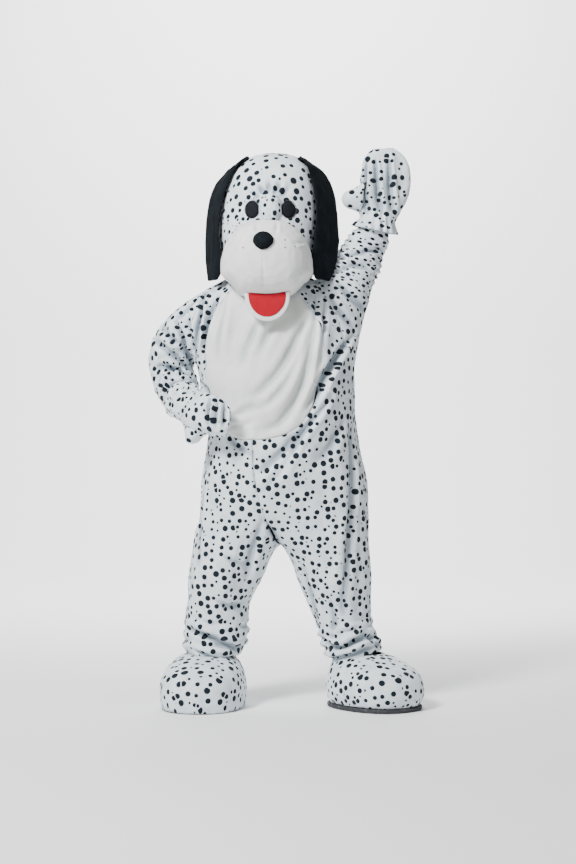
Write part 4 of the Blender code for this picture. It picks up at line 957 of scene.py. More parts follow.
class PlacedFold:
    """A fold laid on the costume's skin, as points in space."""

    end_share: float = 0.06
    taper_power: float = 0.8
    start_width: float = 0.75
    added_width: float = 0.5
    trough_power: float = 1.5
    crest_place: float = 1.9
    crest_width: float = 0.9
    far_crest: float = 0.35
    least_facing: float = -0.15

    def __init__(self, fold: Fold, skin: BVHTree, gain: float = 1.0, spacing: float = 0.006) -> None:
        """Casts a fold's line on the skin.

        Args:
            fold: The fold as listed.
            skin: The skins of the pieces that it lies on.
            gain: How much deeper than stated it is pressed.
            spacing: The distance between the line's points.
        """
        self.fold = fold
        self.gain = gain
        look = Vector(fold.side.value)
        lateral = fold.side in (Side.LEFT, Side.RIGHT)
        flat = [Vector((0.0, a, z)) if lateral else Vector((a, 0.0, z)) for a, z in fold.line]
        found = []
        for place in smooth_line(flat, spacing):
            hit = skin.ray_cast(place - look * LOOK_FROM, look)
            if hit[0] is not None:
                found.append(hit[0])
        self.points = np.array([tuple(p) for p in found]) if found else np.full((1, 3), FAR_OFF)

    def depth_at(self, places: np.ndarray, normals: np.ndarray) -> np.ndarray:
        """How far each place moves along its normal.

        Args:
            places: The places, one in a row.
            normals: Their normals.

        Returns:
            The moves, negative inwards.
        """
        fold, line = self.fold, self.points
        gaps = places[:, None, :] - line[None, :, :]
        far = np.sqrt((gaps ** 2).sum(2))
        nearest = far.argmin(1)
        distance = far[np.arange(len(places)), nearest]
        count = len(line)
        share = nearest / max(count - 1, 1)
        ends = self.end_share + (1 - 2 * self.end_share) * share
        taper = np.clip(np.sin(math.pi * ends), 0, 1) ** self.taper_power
        ahead = line[np.minimum(nearest + 2, count - 1)] - line[np.maximum(nearest - 2, 0)]
        side = np.cross(ahead, normals)
        offset = places - line[nearest]
        sign = np.sign((side * offset).sum(1)) * (1 if fold.ridge >= 0 else -1)
        width = fold.width * (self.start_width + self.added_width * share)
        trough = np.exp(-(distance / width) ** self.trough_power)
        crest = np.exp(-((distance - self.crest_place * width) / (self.crest_width * width)) ** 2)
        facing = (normals * -np.array(fold.side.value)).sum(1) > self.least_facing
        ridge = abs(fold.ridge) * crest * np.where(sign < 0, 1.0, self.far_crest)
        return taper * facing * fold.depth * self.gain * (ridge - trough)


def cylinder(points: np.ndarray, start: Place, end: Place) -> tuple[np.ndarray, np.ndarray, np.ndarray]:
    """Places round an axis.

    Args:
        points: The places, one in a row.
        start: The axis's start.
        end: Its end.

    Returns:
        The distance along the axis, the angle round it, and the distance from it.
    """
    axis = Vector(end) - Vector(start)
    axis.normalize()
    across = axis.orthogonal().normalized()
    third = axis.cross(across)
    gap = points - np.array(start)
    along = gap @ np.array(axis)
    u, v = gap @ np.array(across), gap @ np.array(third)
    return along, np.arctan2(v, u), np.hypot(u, v)


@dataclass(frozen=True)
class Cut:
    """The flat piece that a cloth panel is cut from."""

    width: float
    length: float
    area: float
    held: Hold = Hold.HUNG

    def declare(self, thing: bpy.types.Object, rests_on: Sequence[str] = ()) -> None:
        """Does nothing: the piece is not stated as a sheet of this cut."""


BODY_FOLDS = (
    # The right armpit and chest
    Fold(((-0.308, -0.117), (-0.278, -0.182), (-0.258, -0.248), (-0.242, -0.294)), 0.011, 0.010),
    Fold(((-0.203, -0.005), (-0.222, -0.084), (-0.239, -0.199), (-0.242, -0.294)), 0.008, 0.008),
    Fold(((-0.270, -0.038), (-0.262, -0.117), (-0.252, -0.199), (-0.242, -0.288)), 0.007, 0.008),
    Fold(((-0.162, -0.031), (-0.186, -0.100), (-0.203, -0.199), (-0.208, -0.268)), 0.006, 0.010),
    Fold(((-0.242, -0.297), (-0.222, -0.324), (-0.199, -0.353)), 0.008, 0.012, ridge=-0.6),
    # The left chest and side
    Fold(((0.189, -0.018), (0.186, -0.140), (0.172, -0.304)), 0.006, 0.009, ridge=-0.5),
    Fold(((0.159, -0.024), (0.156, -0.117), (0.159, -0.215)), 0.005, 0.008),
    Fold(((0.205, -0.034), (0.238, -0.084), (0.288, -0.140)), 0.008, 0.011),
    Fold(((0.288, -0.156), (0.238, -0.222), (0.189, -0.304), (0.130, -0.413)), 0.009, 0.013),
    # Belly
    Fold(((-0.025, -0.110), (-0.051, -0.169), (-0.091, -0.261)), 0.006, 0.016),
    Fold(((0.038, -0.110), (-0.012, -0.189), (-0.051, -0.261)), 0.005, 0.015),
    Fold(((0.133, -0.103), (0.100, -0.169), (0.080, -0.215), (0.041, -0.281), (-0.012, -0.340),
          (-0.064, -0.380)), 0.009, 0.014),
    Fold(((0.149, -0.110), (0.140, -0.215), (0.107, -0.347), (0.044, -0.449), (-0.022, -0.478)),
         0.010, 0.013),
    Fold(((-0.137, -0.051), (-0.157, -0.149), (-0.170, -0.248)), 0.005, 0.014),
    Fold(((0.107, -0.222), (0.067, -0.307), (0.008, -0.380), (-0.078, -0.426)), 0.006, 0.014),
    Fold(((-0.117, -0.439), (-0.078, -0.413), (-0.038, -0.393)), 0.004, 0.010),
    Fold(((-0.127, -0.469), (-0.071, -0.459), (-0.018, -0.439)), 0.004, 0.009),
    # Hip and seat of the trousers
    Fold(((0.205, -0.373), (0.120, -0.469), (0.064, -0.541), (-0.012, -0.607)), 0.012, 0.015),
    Fold(((0.192, -0.396), (0.117, -0.488), (0.077, -0.567), (-0.018, -0.682)), 0.007, 0.010, ridge=-0.9),
    Fold(((0.255, -0.439), (0.205, -0.528), (0.146, -0.603)), 0.005, 0.018),
    Fold(((-0.133, -0.501), (-0.091, -0.534), (-0.051, -0.561)), 0.007, 0.012),
    Fold(((0.271, -0.462), (0.278, -0.626), (0.271, -0.791), (0.261, -0.955), (0.238, -1.120)),
         0.009, 0.016),
    Fold(((-0.018, -0.771), (-0.055, -0.896), (-0.071, -0.982)), 0.007, 0.014),
    Fold(((-0.005, -0.781), (0.028, -0.840), (0.061, -0.906)), 0.006, 0.012, ridge=-0.5),
    Fold(((-0.048, -0.515), (-0.039, -0.699), (-0.032, -0.742), (-0.012, -0.791)), 0.003, 0.006,
         ridge=0.2),
    Fold(((-0.212, -0.610), (-0.226, -0.774), (-0.235, -0.939)), 0.005, 0.017),
    Fold(((-0.150, -0.890), (-0.110, -0.913), (-0.071, -0.926)), 0.005, 0.012),
    Fold(((-0.176, -1.038), (-0.130, -1.061), (-0.078, -1.051)), 0.005, 0.013),
    Fold(((0.107, -0.906), (0.146, -1.038), (0.166, -1.153)), 0.005, 0.014),
    Fold(((0.205, -1.038), (0.219, -1.110), (0.205, -1.186)), 0.006, 0.012),
    # Hems
    Fold(((-0.262, -1.143), (-0.173, -1.173), (-0.101, -1.202), (-0.058, -1.196)), 0.017, 0.011),
    Fold(((-0.245, -1.209), (-0.170, -1.235), (-0.104, -1.248)), 0.008, 0.008),
    Fold(((0.172, -1.169), (0.238, -1.202), (0.321, -1.159), (0.370, -1.192)), 0.015, 0.010),
    Fold(((0.189, -1.275), (0.255, -1.235), (0.353, -1.192)), 0.010, 0.009),
    Fold(((0.166, -1.219), (0.212, -1.242), (0.271, -1.219)), 0.010, 0.009),
)

FINGER_GROOVES = (
    ((0.328, 0.417), (0.321, 0.323), (0.331, 0.250)),
    ((0.358, 0.423), (0.364, 0.323), (0.378, 0.250)),
    ((0.405, 0.423), (0.408, 0.323), (0.415, 0.256)),
)

SLEEVE_FOLDS = (
    Fold(((-0.255, -0.284), (-0.314, -0.232), (-0.380, -0.176)), 0.008, 0.010),
    Fold(((-0.255, -0.294), (-0.314, -0.274), (-0.380, -0.265)), 0.009, 0.010),
    Fold(((-0.222, -0.340), (-0.288, -0.321), (-0.354, -0.350)), 0.008, 0.010),
    Fold(((-0.203, -0.360), (-0.255, -0.353), (-0.301, -0.403)), 0.007, 0.009),
    Fold(((-0.278, -0.192), (-0.321, -0.176), (-0.360, -0.123)), 0.006, 0.010),
    Fold(((-0.219, -0.021), (-0.262, -0.067), (-0.308, -0.110)), 0.006, 0.012),
    Fold(((-0.250, -0.200), (-0.300, -0.250), (-0.370, -0.300)), 0.007, 0.011, Side.BACK),
    Fold(((-0.240, -0.260), (-0.300, -0.310), (-0.360, -0.350)), 0.006, 0.010, Side.BACK),
    Fold(((0.240, 0.096), (0.306, 0.112), (0.389, 0.132)), 0.006, 0.008),
    Fold(((0.223, 0.052), (0.280, 0.069), (0.339, 0.066)), 0.006, 0.010),
    Fold(((0.235, 0.010), (0.270, -0.030), (0.320, -0.070)), 0.007, 0.011),
    Fold(((0.225, 0.020), (0.290, 0.050), (0.350, 0.090)), 0.006, 0.010, Side.BACK),
    Fold(((0.230, -0.040), (0.290, -0.010), (0.350, 0.030)), 0.006, 0.011, Side.BACK),
)

BACK_FOLDS = (
    Fold(((0.170, -0.040), (0.110, -0.150), (0.060, -0.290)), 0.007, 0.015, Side.BACK),
    Fold(((-0.170, -0.060), (-0.120, -0.170), (-0.060, -0.310)), 0.007, 0.015, Side.BACK),
    Fold(((-0.230, -0.250), (-0.160, -0.330), (-0.040, -0.390)), 0.008, 0.014, Side.BACK),
    Fold(((0.260, -0.300), (0.190, -0.390), (0.090, -0.440)), 0.008, 0.014, Side.BACK),
    Fold(((-0.210, -0.420), (-0.110, -0.480), (0.020, -0.500)), 0.009, 0.015, Side.BACK, -0.6),
    Fold(((0.280, -0.470), (0.200, -0.560), (0.080, -0.620)), 0.008, 0.015, Side.BACK),
    Fold(((-0.200, -0.560), (-0.130, -0.650), (-0.020, -0.720)), 0.008, 0.015, Side.BACK, -0.6),
    Fold(((0.240, -0.680), (0.170, -0.740), (0.070, -0.770)), 0.006, 0.014, Side.BACK),
    Fold(((-0.240, -0.780), (-0.190, -0.880), (-0.100, -0.930)), 0.006, 0.013, Side.BACK, -0.5),
    Fold(((0.290, -0.860), (0.230, -0.940), (0.150, -0.960)), 0.007, 0.013, Side.BACK),
    Fold(((-0.260, -1.020), (-0.180, -1.060), (-0.090, -1.040)), 0.006, 0.011, Side.BACK),
    Fold(((0.310, -1.050), (0.240, -1.090), (0.170, -1.070)), 0.006, 0.011, Side.BACK),
    Fold(((-0.260, -1.150), (-0.170, -1.180), (-0.080, -1.160)), 0.008, 0.010, Side.BACK),
    Fold(((0.340, -1.160), (0.250, -1.190), (0.170, -1.170)), 0.008, 0.010, Side.BACK),
    Fold(((-0.060, -0.300), (0.010, -0.450), (0.050, -0.640)), 0.007, 0.014, Side.LEFT),
    Fold(((0.080, -0.380), (0.030, -0.560), (0.000, -0.760)), 0.006, 0.014, Side.RIGHT),
    Fold(((-0.070, -0.720), (0.000, -0.860), (0.020, -1.020)), 0.006, 0.013, Side.LEFT),
    Fold(((-0.060, -0.700), (0.010, -0.840), (0.050, -1.000)), 0.006, 0.013, Side.RIGHT),
)


@dataclass
class Jumpsuit:
    """The jumpsuit: two fronts, two backs, the belly and the sleeves."""

    wardrobe: Wardrobe
    levels: int = 3
    thickness: float = 0.0020
    wrinkle: float = 0.0046
    wrinkle_wave: float = 0.078
    wrinkle_stretch: Place = (1.0, 1.0, 1.5)
    fine_height: float = 0.35
    fine_wave: float = 0.4
    belly_share: float = 0.7
    fold_gain: float = 1.5
    sleeve_gain: float = 2.1
    bunched: float = 0.75
    placed: list[PlacedFold] = field(default_factory=list)
    cuts: dict[str, Cut] = field(default_factory=lambda: {
        "front_left": Cut(0.44, 1.32, 0.372),
        "front_right": Cut(0.42, 1.32, 0.338),
        "back_left": Cut(0.46, 1.32, 0.405),
        "back_right": Cut(0.48, 1.32, 0.452),
        "belly": Cut(0.42, 0.56, 0.190),
        "sleeve_left": Cut(0.44, 0.50, 0.176, Hold.GATHERED),
        "sleeve_right": Cut(0.42, 0.56, 0.199, Hold.HUNG),
    })
    ruches: tuple[Ruche, ...] = (
        Ruche((0.240, 0.040, 0.000), (0.365, 0.012, 0.235), 0.12, 0.0205, 0.0046, 2.0, 0.4),
        Ruche((-0.345, 0.040, -0.240), (-0.250, -0.110, -0.405), 0.12, 0.027, 0.0066, 2.0, 1.9),
    )
    hem_ruches: tuple[Ruche, ...] = (
        Ruche((-0.176, 0.004, -1.085), (-0.190, 0.000, -1.240), 0.17, 0.040, 0.0075, 1.0, 0.9),
        Ruche((0.256, 0.004, -1.095), (0.292, 0.000, -1.245), 0.17, 0.036, 0.0070, 1.0, 2.6),
    )

    def build(self) -> list[bpy.types.Object]:
        """Makes and dresses the jumpsuit's pieces.

        Returns:
            The finished pieces.
        """
        panels = {name: Cloth(name, self.levels) for name in self.cuts}
        body_skin = skin_tree([c for n, c in panels.items() if not n.startswith("sleeve")])
        arm_skin = skin_tree([c for n, c in panels.items() if n.startswith("sleeve")])
        whole = skin_tree(list(panels.values()))
        folds = [PlacedFold(one, body_skin, self.fold_gain) for one in BODY_FOLDS + BACK_FOLDS]
        folds += [PlacedFold(one, whole, self.fold_gain) for one in BODY_FOLDS[:5] + BODY_FOLDS[7:9]]
        folds += [PlacedFold(one, arm_skin, self.sleeve_gain) for one in SLEEVE_FOLDS]
        self.placed = folds
        made = []
        for name, panel in panels.items():
            plain = name == "belly"
            self.crease(panel, self.belly_share if plain else 1.0)
            panel.ruche(self.ruches if name.startswith("sleeve") else self.hem_ruches)
            if name == "sleeve_left":
                panel.bunch(self.ruches[0], self.bunched)
            panel.seam()
            finish = self.wardrobe.belly if plain else self.wardrobe.spotted
            piece = panel.finish(self.thickness, finish, self.wardrobe.backing,
                                 Slot.BELLY if plain else Slot.SPOTTED)
            self.cuts[name].declare(piece)
            made.append(piece)
        return made

    def crease(self, panel: Cloth, share: float = 1.0) -> None:
        """Gives a piece of the suit its wrinkles and folds, the large wrinkles at that share."""
        panel.crumple(self.wrinkle * share, self.wrinkle_wave, self.wrinkle_stretch)
        panel.crumple(self.wrinkle * self.fine_height, self.wrinkle_wave * self.fine_wave)
        panel.fold(self.placed)


def skin_tree(panels: Sequence[Cloth]) -> BVHTree:
    """A search tree of several skins."""
    points, faces = [], []
    for panel in panels:
        base = len(points)
        points += [tuple(p) for p in panel.rest]
        faces += [[base + v for v in face.vertices] for face in panel.obj.data.polygons]
    return BVHTree.FromPolygons(points, faces)


@dataclass
class Mitts:
    """The two plush mitts: palm, back and thumb of each."""

    wardrobe: Wardrobe
    levels: int = 3
    fold_gain: float = 2.9
    thickness: float = 0.0020
    cuts: dict[str, Cut] = field(default_factory=lambda: {
        "back": Cut(0.20, 0.30, 0.0475, Hold.GATHERED),
        "palm": Cut(0.20, 0.30, 0.0455, Hold.GATHERED),
        "thumb": Cut(0.13, 0.14, 0.0130, Hold.GATHERED),
    })
    folds: tuple[Fold, ...] = (
        *(Fold(line, depth, 0.009, Side.FRONT, 0.4)
          for line, depth in zip(FINGER_GROOVES, (0.009, 0.009, 0.008))),
        *(Fold(line, 0.005, 0.009, Side.BACK, 0.4) for line in FINGER_GROOVES),
        Fold(((-0.188, -0.375), (-0.191, -0.420), (-0.194, -0.462)), 0.007, 0.008),
        Fold(((-0.136, -0.382), (-0.136, -0.420), (-0.139, -0.462)), 0.006, 0.007),
        Fold(((-0.162, -0.380), (-0.166, -0.425), (-0.168, -0.470)), 0.005, 0.007),
    )
    gathers: tuple[Gather, ...] = (
        Gather((0.360, 0.016, 0.182), (0.372, 0.008, 0.270), 0.12, 13, 0.0170, 1.1),
        Gather((-0.262, -0.080, -0.360), (-0.232, -0.135, -0.400), 0.11, 13, 0.0085, 0.6),
    )
    wrinkle: float = 0.0022
    wrinkle_wave: float = 0.034
    seam_depth: float = 0.0012
    seam_width: float = 0.004

    def build(self) -> list[bpy.types.Object]:
        """Makes and dresses the mitts' pieces."""
        made = []
        for hand in ("left", "right"):
            panels = {part: Cloth(f"mitt_{hand}_{part}", self.levels) for part in self.cuts}
            skin = skin_tree(list(panels.values()))
            folds = [PlacedFold(one, skin, self.fold_gain) for one in self.folds]
            for part, panel in panels.items():
                panel.crumple(self.wrinkle, self.wrinkle_wave)
                panel.fold(folds if part != "thumb" else [])
                panel.gather(self.gathers)
                panel.seam(self.seam_depth, self.seam_width)
                piece = panel.finish(self.thickness, self.wardrobe.spotted, self.wardrobe.backing,
                                     Slot.SPOTTED)
                self.cuts[part].declare(piece)
                made.append(piece)
        return made


@dataclass
class BootCovers:
    """The plush boot covers, each on a foam rubber sole."""

    wardrobe: Wardrobe
    levels: int = 3
    thickness: float = 0.0050
    cut: Cut = Cut(0.62, 0.42, 0.183, Hold.STRETCHED)
    drop: float = 0.0125
    drop_reach: float = 0.030
    swell: float = 0.0065
    wrinkles: tuple[tuple[float, float], ...] = ((0.0030, 0.055), (0.0012, 0.022))
    seam_depth: float = 0.0020
    seam_width: float = 0.006

    def build(self) -> list[bpy.types.Object]:
        """Makes and dresses the uppers and soles."""
        made = []
        for foot in ("left", "right"):
            panel = Cloth(f"boot_{foot}", self.levels)
            for height, wave in self.wrinkles:
                panel.crumple(height, wave)
            panel.seam(self.seam_depth, self.seam_width)
            if foot == "right":
                self.draw_over(panel)
            piece = panel.finish(self.thickness, self.wardrobe.spotted, self.wardrobe.backing, Slot.SPOTTED)
            self.cut.declare(piece)
            made.append(piece)
            made.append(redress(f"sole_{foot}", self.wardrobe.rubber))
        return made

    def draw_over(self, panel: Cloth) -> None:
        """Draws a cover's lower edge down and out over its sole."""
        low = panel.rest[:, 2].min()
        near = np.clip(1 - (panel.rest[:, 2] - low) / self.drop_reach, 0, 1)
        panel.points[:, 2] -= self.drop * near * near
        away = panel.rest[:, :2] - (panel.rest[:, :2].max(0) + panel.rest[:, :2].min(0)) / 2
        length = np.linalg.norm(away, axis=1)[:, None]
        panel.points[:, :2] += away / length * self.swell * near[:, None]


@dataclass
class DogHead:
    """The padded dog head: spotted cover, ears, muzzle, nose, eyes and open mouth."""

    wardrobe: Wardrobe
    levels: int = 2
    wall: float = 0.0080
    cover_cuts: dict[str, Cut] = field(default_factory=lambda: {
        "head_front": Cut(0.52, 0.56, 0.225, Hold.STRETCHED),
        "head_back_left": Cut(0.28, 0.50, 0.116, Hold.STRETCHED),
        "head_back_right": Cut(0.28, 0.50, 0.116, Hold.STRETCHED),
    })
    felt_cut: Cut = Cut(0.15, 0.09, 0.0105, Hold.LAID)
    muzzle_folds: tuple[Fold, ...] = (
        Fold(((-0.016, 0.104), (-0.013, 0.046), (-0.013, -0.030)), 0.0030, 0.004, ridge=0.2),
        Fold(((0.034, 0.200), (0.028, 0.170), (0.026, 0.150)), 0.0060, 0.006),
        Fold(((-0.041, 0.200), (-0.036, 0.175), (-0.034, 0.160)), 0.0050, 0.006, ridge=-0.5),
        Fold(((-0.150, 0.114), (-0.128, 0.120), (-0.108, 0.123)), 0.0030, 0.005),
        Fold(((0.148, 0.132), (0.120, 0.127), (0.087, 0.120)), 0.0030, 0.005),
    )
    brow_folds: tuple[Fold, ...] = (
        Fold(((-0.050, 0.250), (-0.034, 0.290), (0.000, 0.314), (0.044, 0.304), (0.064, 0.268)),
             0.0070, 0.013, ridge=0.2),
        Fold(((-0.006, 0.290), (-0.018, 0.308), (-0.034, 0.328)), 0.0090, 0.008),
        Fold(((0.018, 0.292), (0.030, 0.310), (0.046, 0.332)), 0.0090, 0.008),
        Fold(((0.004, 0.294), (0.004, 0.314), (0.006, 0.342)), 0.0070, 0.007),
        Fold(((0.042, 0.290), (0.060, 0.305), (0.074, 0.322)), 0.0070, 0.008),
        Fold(((-0.030, 0.286), (-0.046, 0.298), (-0.062, 0.306)), 0.0060, 0.008),
        Fold(((-0.120, 0.185), (-0.138, 0.160), (-0.146, 0.130)), 0.0030, 0.007),
        Fold(((0.135, 0.190), (0.150, 0.160), (0.160, 0.130)), 0.0030, 0.007),
    )
    whiskers: Line = ((-0.077, 0.106), (0.058, 0.106), (0.090, 0.112), (0.058, 0.131))
    whisker_radius: float = 0.0028
    whisker_flatness: float = 0.45
    rim_radius: float = 0.0013
    rim_outset: float = 0.0015
    rim_stitches: int = 56
    rim_swell: float = 0.12
    seam_depth: float = 0.0014
    seam_width: float = 0.005
    wrinkle: float = 0.0016
    wrinkle_wave: float = 0.060
    hug: float = 0.85
    corner_tuck: float = 0.016
    corner_lift: float = 0.7
    tuck_start: float = 0.45
    tuck_run: float = 0.5
    tuck_height: float = 0.36
    tuck_fade: float = 0.26
    pad_stretch: Place = (1.0, 1.0, 1.6)
    bridge_shift: float = -0.0055
    bridge_share: float = 0.84
    ear_spread: float = 0.60
    ear_start: tuple[float, float] = (0.27, 0.17)
    ear_row: float = 0.012
    root_shift: float = 0.009
    root_reach: float = 0.110
    eye_rise: float = 0.0030
    front_skin: BVHTree | None = None

    def build(self) -> list[bpy.types.Object]:
        """Makes and dresses the head's pieces."""
        made = self.cover() + self.pads() + self.eyes() + self.mouth()
        made += self.whisker_dots(made)
        return made

    def cover(self) -> list[bpy.types.Object]:
        """The spotted cover over the foam."""
        panels = {name: Cloth(name, self.levels + (name == "head_front")) for name in self.cover_cuts}
        self.front_skin = skin_tree([panels["head_front"]])
        folds = [PlacedFold(one, skin_tree(list(panels.values()))) for one in self.brow_folds]
        made = []
        for name, panel in panels.items():
            panel.crumple(self.wrinkle, self.wrinkle_wave)
            panel.fold(folds)
            panel.seam(self.seam_depth, self.seam_width)
            piece = panel.finish(self.wall, self.wardrobe.spotted, self.wardrobe.backing, Slot.SPOTTED)
            self.cover_cuts[name].declare(piece)
            made.append(piece)
        return made

    def pads(self) -> list[bpy.types.Object]:
        """The stuffed pieces: muzzle, nose bridge, nose and ears."""
        rows = (
            ("muzzle", self.wardrobe.muzzle, Slot.MUZZLE, 0.0022, 0.060, 0.85, 3),
            ("nose_bridge", self.wardrobe.spotted, Slot.SPOTTED, 0.0040, 0.026, 0.7, 3),
            ("nose", self.wardrobe.nose, Slot.BLACK, 0.0004, 0.012, 0.9, 2),
            ("ear_left", self.wardrobe.black, Slot.BLACK, 0.0030, 0.060, 0.5, 3),
            ("ear_right", self.wardrobe.black, Slot.BLACK, 0.0030, 0.060, 0.5, 3),
        )
        made = []
        for name, finish, slot, height, wave, fill, levels in rows:
            pad = Cloth(name, levels, walled=False, hug=self.hug)
            pad.crumple(height, wave, self.pad_stretch)
            if name == "muzzle":
                skin = skin_tree([pad])
                pad.fold([PlacedFold(one, skin) for one in self.muzzle_folds])
                self.tuck(pad)
            elif name == "nose_bridge":
                aside = pad.rest[:, 0] - float(pad.rest[:, 0].mean())
                pad.points[:, 0] += (self.bridge_share - 1) * aside + self.bridge_shift
            elif name.startswith("ear"):
                self.widen(pad, -1 if name.endswith("right") else 1)
            piece = pad.finish(0.0, finish, None, slot)
            made.append(piece)
        return made

    def tuck(self, pad: Cloth) -> None:
        """Draws the muzzle's lower corners in, as its cover does."""
        low, high = pad.rest.min(0), pad.rest.max(0)
        middle = (low + high) / 2
        aside = (pad.rest[:, 0] - middle[0]) / (high[0] - middle[0])
        down = (pad.rest[:, 2] - low[2]) / (high[2] - low[2])
        outer = np.clip((np.abs(aside) - self.tuck_start) / self.tuck_run, 0, 1)
        lower = np.clip((self.tuck_height - down) / self.tuck_fade, 0, 1)
        share = soft(outer) * soft(lower)
        pad.points[:, 0] -= np.sign(aside) * self.corner_tuck * share
        pad.points[:, 2] += self.corner_lift * self.corner_tuck * share

    def widen(self, ear: Cloth, out: int) -> None:
        """Broadens a hanging ear towards the head, so that it hugs it.

        Args:
            ear: The ear's skin.
            out: The side that the ear hangs on, -1 or 1 along X.
        """
        height = ear.rest[:, 2]
        rows = np.round((height - height.min()) / self.ear_row).astype(int)
        edge = np.array([(out * ear.rest[rows == k, 0]).max() if (rows == k).any() else np.nan
                         for k in range(rows.max() + 1)])
        seen = ~np.isnan(edge)
        levels = height.min() + np.arange(len(edge)) * self.ear_row
        outer = np.interp(height, levels[seen], edge[seen])
        start = self.ear_start[1 if out > 0 else 0]
        below = np.clip((height.max() - height - start) / (np.ptp(height) - start), 0, 1)
        ear.points[:, 0] -= out * self.ear_spread * below * (outer - out * ear.rest[:, 0])
        root = np.clip(1 - (height.max() - height) / self.root_reach, 0, 1)
        ear.points[:, 0] -= out * self.root_shift * root

    def eyes(self) -> list[bpy.types.Object]:
        """The dark mesh eyes, set just proud of the cover."""
        made = []
        for side in ("left", "right"):
            gauze = Cloth(f"eye_mesh_{side}", 1, walled=False, hug=self.hug)
            gauze.points[:, 1] -= self.eye_rise * np.clip(-gauze.normals[:, 1], 0, 1)
            eye = gauze.finish(0.0, self.wardrobe.gauze, None, Slot.EYE)
            made.append(eye)
            made.append(self.eye_rim(eye, side))
        return made

    def eye_rim(self, eye: bpy.types.Object, side: str) -> bpy.types.Object:
        """The overcast edge round an eye, bent to the head's surface.

        Args:
            eye: The eye's mesh.
            side: The side's name.

        Returns:
            The rim.
        """
        places = [v.co for v in eye.data.vertices]
        low = [min(p[k] for p in places) for k in range(3)]
        high = [max(p[k] for p in places) for k in range(3)]
        deselect()
        thick = 0.1
        bpy.ops.mesh.primitive_torus_add(major_segments=self.rim_stitches, minor_segments=8,
                                         major_radius=1.0, minor_radius=thick)
        rim = bpy.context.object
        rim.name = f"eye_rim_{side}"
        half = ((high[0] - low[0]) / 2, (high[2] - low[2]) / 2)
        centre = ((high[0] + low[0]) / 2, (high[2] + low[2]) / 2)
        for vertex in rim.data.vertices:
            u, v, w = vertex.co
            ring = math.hypot(u, v)
            x, z = centre[0] + half[0] * u / ring, centre[1] + half[1] * v / ring
            out = Vector((x - centre[0], 0.0, z - centre[1])).normalized()
            start = Vector((x, -LOOK_FROM, z)) + out * self.rim_outset
            spot = self.front_skin.ray_cast(start, INWARD)[0]
            base = spot if spot is not None else Vector((x, low[1], z))
            stitch = self.rim_swell * math.sin(math.atan2(v, u) * self.rim_stitches)
            swell = self.rim_radius / thick * (1.0 + stitch)
            vertex.co = base + out * (ring - 1.0) * swell + Vector((0.0, -w * swell, 0.0))
        work = bmesh.new()
        work.from_mesh(rim.data)
        bmesh.ops.recalc_face_normals(work, faces=work.faces[:])
        work.to_mesh(rim.data)
        work.free()
        return trim(rim, self.wardrobe.thread)

    def mouth(self) -> list[bpy.types.Object]:
        """The mouth flap and its felt."""
        flap = Cloth("mouth_flap", 2, walled=False)
        white = flap.finish(0.0, self.wardrobe.muzzle, None, Slot.MUZZLE)
        lining = Cloth("mouth_felt", 2, walled=False)
        red = lining.finish(0.0, self.wardrobe.felt, None, Slot.FELT)
        self.felt_cut.declare(red, rests_on=["mouth_flap"])
        return [white, red]

    def whisker_dots(self, pieces: Sequence[bpy.types.Object]) -> list[bpy.types.Object]:
        """Small sewn dots on the muzzle."""
        muzzle = next(p for p in pieces if p.name.startswith("muzzle"))
        tree = mesh_tree(muzzle.data)
        made = []
        for k, (x, z) in enumerate(self.whiskers):
            spot, normal, _, _ = tree.ray_cast(Vector((x, -LOOK_FROM, z)), INWARD)
            if spot is None:
                continue
            deselect()
            bpy.ops.mesh.primitive_uv_sphere_add(segments=16, ring_count=10, location=spot,
                                                 radius=self.whisker_radius)
            dot = bpy.context.object
            dot.name = f"whisker_dot_{k + 1}"
            dot.rotation_euler = normal.to_track_quat("Z", "Y").to_euler()
            dot.scale = (1.0, 1.0, self.whisker_flatness)
            place_mesh(dot)
            made.append(trim(dot, self.wardrobe.thread))
        return made


